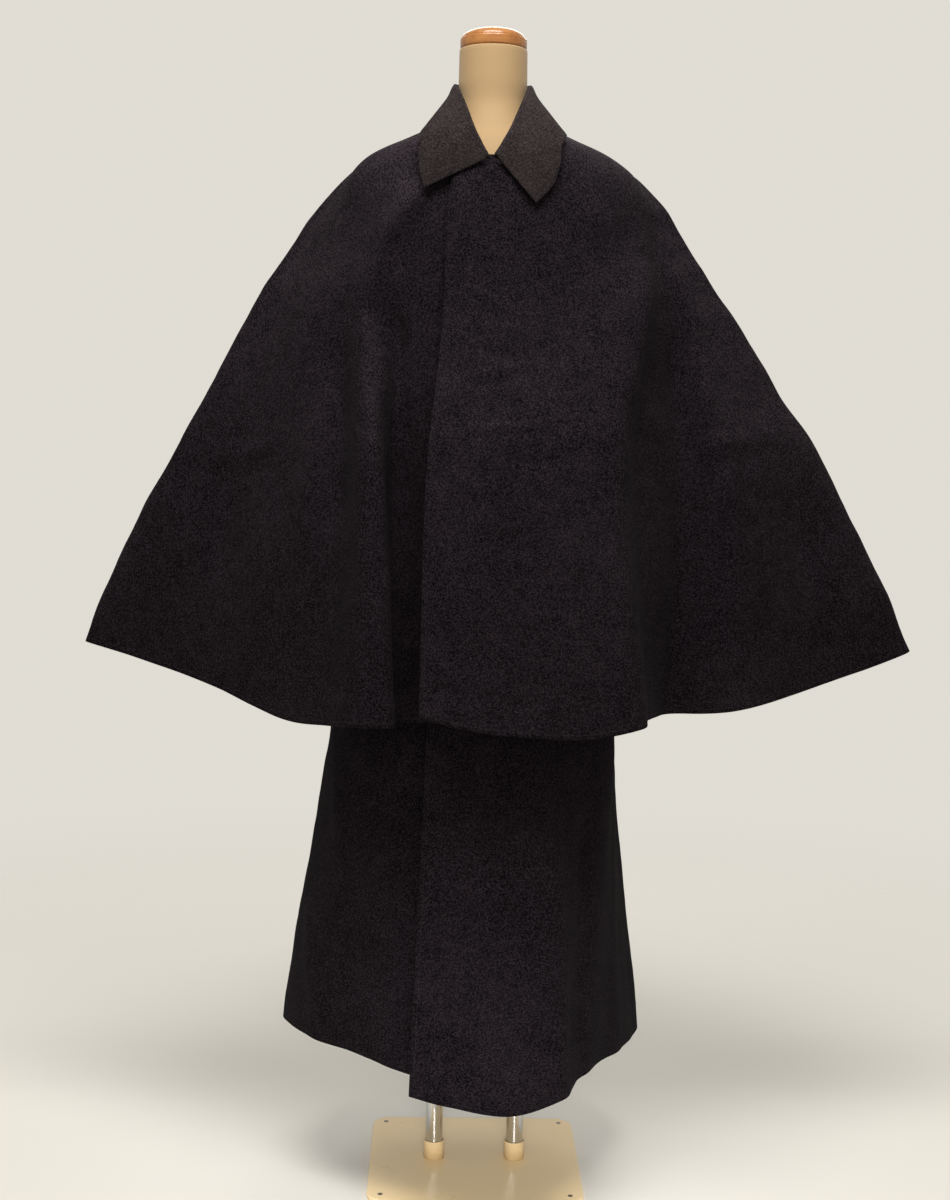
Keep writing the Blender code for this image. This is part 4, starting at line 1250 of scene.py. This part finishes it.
def wood_finish():
    finish = Finish("turned wood")
    grain = finish.places((3.0, 26.0, 26.0))
    bands = finish.speckle(grain, 6.0, detail=5.0, roughness=0.6)
    pores = finish.speckle(finish.places((8.0, 90.0, 90.0)), 14.0, detail=2.0)
    stops = [(0.30, (0.230, 0.078, 0.013)), (0.50, (0.320, 0.120, 0.022)), (0.72, (0.400, 0.165, 0.036))]
    colour = finish.add("ShaderNodeValToRGB", {"Fac": bands}, stops=stops)
    finish.surface(Base_Color=finish.mix((pores * 0.35).clipped(), colour, (0.300, 0.130, 0.045)))
    finish.surface(Roughness=0.26 + bands * 0.16)
    finish.relief(pores, 0.0001, 0.3)
    finish.shader.inputs["Coat Weight"].default_value = 0.35
    finish.shader.inputs["Coat Roughness"].default_value = 0.18
    return finish.material


def chrome_finish():
    finish = Finish("chrome tube")
    streaks = finish.speckle(finish.places((1.0, 1.0, 0.03)), 420.0, detail=3.0)
    marks = finish.speckle(finish.places(), 60.0, detail=4.0)
    finish.surface(Base_Color=finish.mix(marks, (0.60, 0.60, 0.60), (0.74, 0.74, 0.73)))
    finish.surface(Metallic=1.0, Roughness=0.10 + streaks * 0.10)
    return finish.material


def plastic_finish(name, pale, deep):
    finish = Finish(name)
    cloud = finish.speckle(finish.places(), 40.0, detail=3.0)
    grain = finish.speckle(finish.places(), 1400.0, detail=1.0)
    finish.surface(Base_Color=finish.mix(cloud, pale, deep))
    finish.surface(Roughness=0.42 + cloud * 0.14)
    finish.relief(grain, 0.00012, 0.35)
    return finish.material


def neck_cap():
    foot = NECK_TOP + REST_GAP
    rim_top = foot + CAP_RIM
    dome = CAP_RADIUS - CAP_STEP
    profile = [(CAP_TIP, foot + CAP_HEIGHT)]
    for angle in np.linspace(0.0, math.pi / 2.0, CAP_DOME_STEPS + 1)[1:]:
        profile.append((dome * math.sin(angle), rim_top + (CAP_HEIGHT - CAP_RIM) * math.cos(angle)))
    profile += arc(dome + CAP_GROOVE, rim_top, CAP_GROOVE, 180.0, 360.0)
    profile += arc(CAP_RADIUS - CAP_ROUND, rim_top - CAP_ROUND, CAP_ROUND, 80.0, 0.0)
    profile += arc(CAP_RADIUS - CAP_ROUND, foot + CAP_ROUND, CAP_ROUND, 0.0, -90.0)
    return turned("neck_cap", profile, 0.0, wood_finish())


CHROME = chrome_finish()
SOCKET_PLASTIC = plastic_finish("socket plastic", (0.84, 0.635, 0.360), (0.78, 0.585, 0.325))


def pole(name, x):
    foot = PLATE_THICK + REST_GAP
    top = FORM_LEVELS[-1, 0] - REST_GAP
    inner = POLE_RADIUS - POLE_ROUND
    profile = arc(inner, top - POLE_ROUND, POLE_ROUND, 90.0, 0.0)
    profile += arc(inner, foot + POLE_ROUND, POLE_ROUND, 0.0, -90.0)
    return turned(name, profile, x, CHROME)


def socket(name, x):
    foot = PLATE_THICK + REST_GAP
    shoulder = foot + SOCKET_HEIGHT - SOCKET_ROUND
    inner = POLE_RADIUS + REST_GAP
    outer = inner + SOCKET_WALL
    profile = [(inner, shoulder)]
    profile += arc(inner + SOCKET_ROUND, shoulder, SOCKET_ROUND, 180.0, 90.0)
    profile += arc(outer - SOCKET_ROUND, shoulder, SOCKET_ROUND, 90.0, 0.0)
    profile += [(outer, foot), (inner, foot)]
    return turned(name, profile, x, SOCKET_PLASTIC, hollow=True)


cap = neck_cap()
stand_pieces = {}
for side, x in (("left", POLE_SPACING / 2.0), ("right", -POLE_SPACING / 2.0)):
    stand_pieces[f"pole_{side}"] = pole(f"pole_{side}_tube", x)
    stand_pieces[f"socket_{side}"] = socket(f"socket_{side}_sleeve", x)
print("turned pieces:", 1 + len(stand_pieces))

# %% [markdown]
# ## The base plate
#
# The plate is a square board with round corners and a softened rim, painted beige, with a small
# screw near each corner. Its rings are rounded squares, each a little smaller where the rim turns in.
# The screws repeat, so a short tree of nodes sets one slotted head on each of four points.

# %% Make the plate and its screws
PLATE_HALF = 0.150
PLATE_CORNER = 0.026
PLATE_EDGE = 0.0015
CORNER_STEPS = 14
SCREW_PLACE = 0.131
SCREW_RADIUS = 0.0034
SCREW_RAISED = 0.0003
SCREW_DEPTH = 0.0006
SLOT_SIZE = (0.0046, 0.0009, 0.0010)


def rounded_square(inset, height):
    centre = PLATE_HALF - PLATE_CORNER
    radius = PLATE_CORNER - inset
    ring = []
    for corner, (sign_x, sign_y) in enumerate(((1, -1), (1, 1), (-1, 1), (-1, -1))):
        for angle in np.radians(np.linspace(-90.0, 0.0, CORNER_STEPS) + 90.0 * corner):
            x = sign_x * centre + radius * math.cos(angle)
            y = sign_y * centre + radius * math.sin(angle)
            ring.append((x, y, height))
    return ring


def plate_finish():
    finish = Finish("beige paint")
    cloud = finish.speckle(finish.places(), 11.0, detail=4.0)
    scuffs = finish.speckle(finish.places((1.0, 6.0, 1.0)), 70.0, detail=5.0, roughness=0.7)
    worn = ((scuffs - 0.60) * 5.0).clipped()
    colour = finish.mix(cloud, (0.860, 0.660, 0.385), (0.920, 0.715, 0.430))
    finish.surface(Base_Color=finish.mix(worn * 0.3, colour, (0.76, 0.60, 0.42)))
    finish.surface(Roughness=0.24 + cloud * 0.10 + worn * 0.12)
    finish.relief(scuffs, 0.00008, 0.3)
    return finish.material


def base_plate():
    profile = arc(PLATE_EDGE, PLATE_THICK - PLATE_EDGE, PLATE_EDGE, 90.0, 180.0)
    profile += arc(PLATE_EDGE, PLATE_EDGE, PLATE_EDGE, 180.0, 270.0)
    rings = [rounded_square(inset, height) for inset, height in profile]
    return loft("base_board", rings, plate_finish())


def screw_tree(steel):
    tree = empty_tree("plate screws", Radius="Float")
    start = add_node(tree, "NodeGroupInput")
    end = add_node(tree, "NodeGroupOutput")
    head = add_node(tree, "GeometryNodeMeshCylinder", Vertices=24, Depth=SCREW_DEPTH)
    slot_bar = add_node(tree, "GeometryNodeMeshCube", Size=SLOT_SIZE)
    both = add_node(tree, "GeometryNodeJoinGeometry")
    stand = add_node(tree, "GeometryNodeInstanceOnPoints")
    real = add_node(tree, "GeometryNodeRealizeInstances")
    dress = add_node(tree, "GeometryNodeSetMaterial", Material=steel)
    join_nodes(
        tree,
        (start, "Radius", head, "Radius"),
        (head, "Mesh", both, "Geometry"),
        (slot_bar, "Mesh", both, "Geometry"),
        (start, "Geometry", stand, "Points"),
        (both, "Geometry", stand, "Instance"),
        (stand, "Instances", real, "Geometry"),
        (real, "Geometry", dress, "Geometry"),
        (dress, "Geometry", end, "Geometry"),
    )
    return tree


def steel_finish():
    finish = Finish("dull steel")
    marks = finish.speckle(finish.places(), 900.0, detail=2.0)
    finish.surface(Base_Color=finish.mix(marks, (0.20, 0.18, 0.15), (0.34, 0.31, 0.27)))
    finish.surface(Metallic=1.0, Roughness=0.40 + marks * 0.2)
    return finish.material


plate = base_plate()
screw_spots = []
for x in (-SCREW_PLACE, SCREW_PLACE):
    for y in (-SCREW_PLACE, SCREW_PLACE):
        screw_spots.append((x, y, PLATE_THICK + SCREW_RAISED))
screws = run_tree("plate_screws", screw_tree(steel_finish()), screw_spots, [], {"Radius": SCREW_RADIUS})
screws.data.shade_flat()
print("plate faces:", len(plate.data.polygons), "screw faces:", len(screws.data.polygons))

# %% [markdown]
# ## Fastening the pieces to the frame
#
# Every visible piece stands for a node of the solid model and moves with its one body.


def fasten(piece, slot, *nodes):
    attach(piece, "root")
    if nodes:
        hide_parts(*nodes)


for name, (piece, slot, (width, length, area)) in cut_pieces.items():
    fasten(piece, slot, name)
    fasten(stitches[name], slot)
    [stitches[name]] + ([facing] if name == "collar" else [])
fasten(facing, "coat_wool")
fasten(cover, "form_cover", "form_torso")
fasten(cap, "cap_wood", "form_neck_cap")
for name, piece in stand_pieces.items():
    fasten(piece, "pole_chrome" if name.startswith("pole") else "stand_paint", name)
fasten(plate, "stand_paint", "base_plate")
fasten(screws, "stand_paint")
print("cloth pieces fastened:", len(cut_pieces), "and stand pieces:", len(stand_pieces) + 4)

# %% [markdown]
# ## Stage and light
#
# The picture was taken indoors against a white wall, in soft light from overhead. A wall behind the
# form would hide it from a camera at its back, so only the pale floor is built, and it fades into
# the sky with its distance from the stand, so that it shows no edge from any side. The wall's tone
# is given to the sky: the sky that the camera sees is as bright as the wall in the photo, and the
# sky that lights the cloth is dimmer, which fills the shadows and leaves the folds their depth. A
# wide light above and in front gives the soft top light, and a weaker one does the same behind.

# %% Set the stage and the lights
FLOOR_HALF_WIDTH = 3.5
FLOOR_DROP = 0.0005
FADE_START = 0.7
FADE_END = 2.6
SKY_COLOUR = (1.0, 0.965, 0.880, 1.0)
SKY_LIGHT = 0.50
SKY_SEEN = 0.745


def floor_finish():
    finish = Finish("pale floor")
    places = finish.places()
    cloud = finish.speckle(places, 1.3, detail=3.0)
    finish.surface(Base_Color=finish.mix(cloud, (0.715, 0.698, 0.652), (0.765, 0.750, 0.705)))
    finish.surface(Roughness=0.85)
    distance = finish.add("ShaderNodeVectorMath", {0: places}, output=1, operation="LENGTH")
    near = ((FADE_END - distance) * (1.0 / (FADE_END - FADE_START))).clipped()
    finish.surface(Alpha=near * near * (3.0 - near * 2.0))
    return finish.material


def floor():
    wide = FLOOR_HALF_WIDTH
    corners = ((-wide, -wide), (wide, -wide), (wide, wide), (-wide, wide))
    spots = [(x, y, -FLOOR_DROP) for x, y in corners]
    return add_piece("stage_floor", spots, [(0, 1, 2, 3)], floor_finish())


def area_light(name, place, aim, size, power, colour, spread=180.0):
    data = bpy.data.lights.new(name, "AREA")
    data.spread = math.radians(spread)
    data.shape = "RECTANGLE"
    data.size, data.size_y = size
    data.energy = power
    data.color = colour
    lamp = bpy.data.objects.new(name, data)
    lamp.location = place
    lamp.rotation_euler = (Vector(aim) - Vector(place)).to_track_quat("-Z", "Y").to_euler()
    bpy.context.scene.collection.objects.link(lamp)


stage = floor()
area_light("top_light", (-0.10, -1.05, 2.90), (0.0, 0.0, 0.9), (1.6, 0.7), 62.0, (1.0, 0.98, 0.95))
area_light("back_light", (0.30, 2.30, 2.70), (0.0, 0.0, 0.9), (2.2, 1.0), 26.0, (1.0, 0.985, 0.965))
area_light("front_fill", (0.2, -3.8, 1.2), (0.0, 0.0, 0.2), (3.2, 1.6), 8.0, (1.0, 0.985, 0.965))
area_light("stand_fill", (0.0, -1.9, 0.75), (0.0, -0.05, 0.0), (0.5, 0.2), 0.65, (1.0, 0.985, 0.965), 30.0)

world = bpy.data.worlds.new("soft room")
world.use_nodes = True
sky_nodes = world.node_tree.nodes
sky_links = world.node_tree.links
seen_sky = sky_nodes.new("ShaderNodeBackground")
sky_choice = sky_nodes.new("ShaderNodeMixShader")
camera_ray = sky_nodes.new("ShaderNodeLightPath").outputs["Is Camera Ray"]
sky_links.new(camera_ray, sky_choice.inputs["Fac"])
for place, sky, strength in ((1, sky_nodes["Background"], SKY_LIGHT), (2, seen_sky, SKY_SEEN)):
    sky.inputs["Color"].default_value = SKY_COLOUR
    sky.inputs["Strength"].default_value = strength
    sky_links.new(sky.outputs["Background"], sky_choice.inputs[place])
sky_links.new(sky_choice.outputs["Shader"], sky_nodes["World Output"].inputs["Surface"])
bpy.context.scene.world = world
bpy.context.scene.view_settings.view_transform = "Standard"
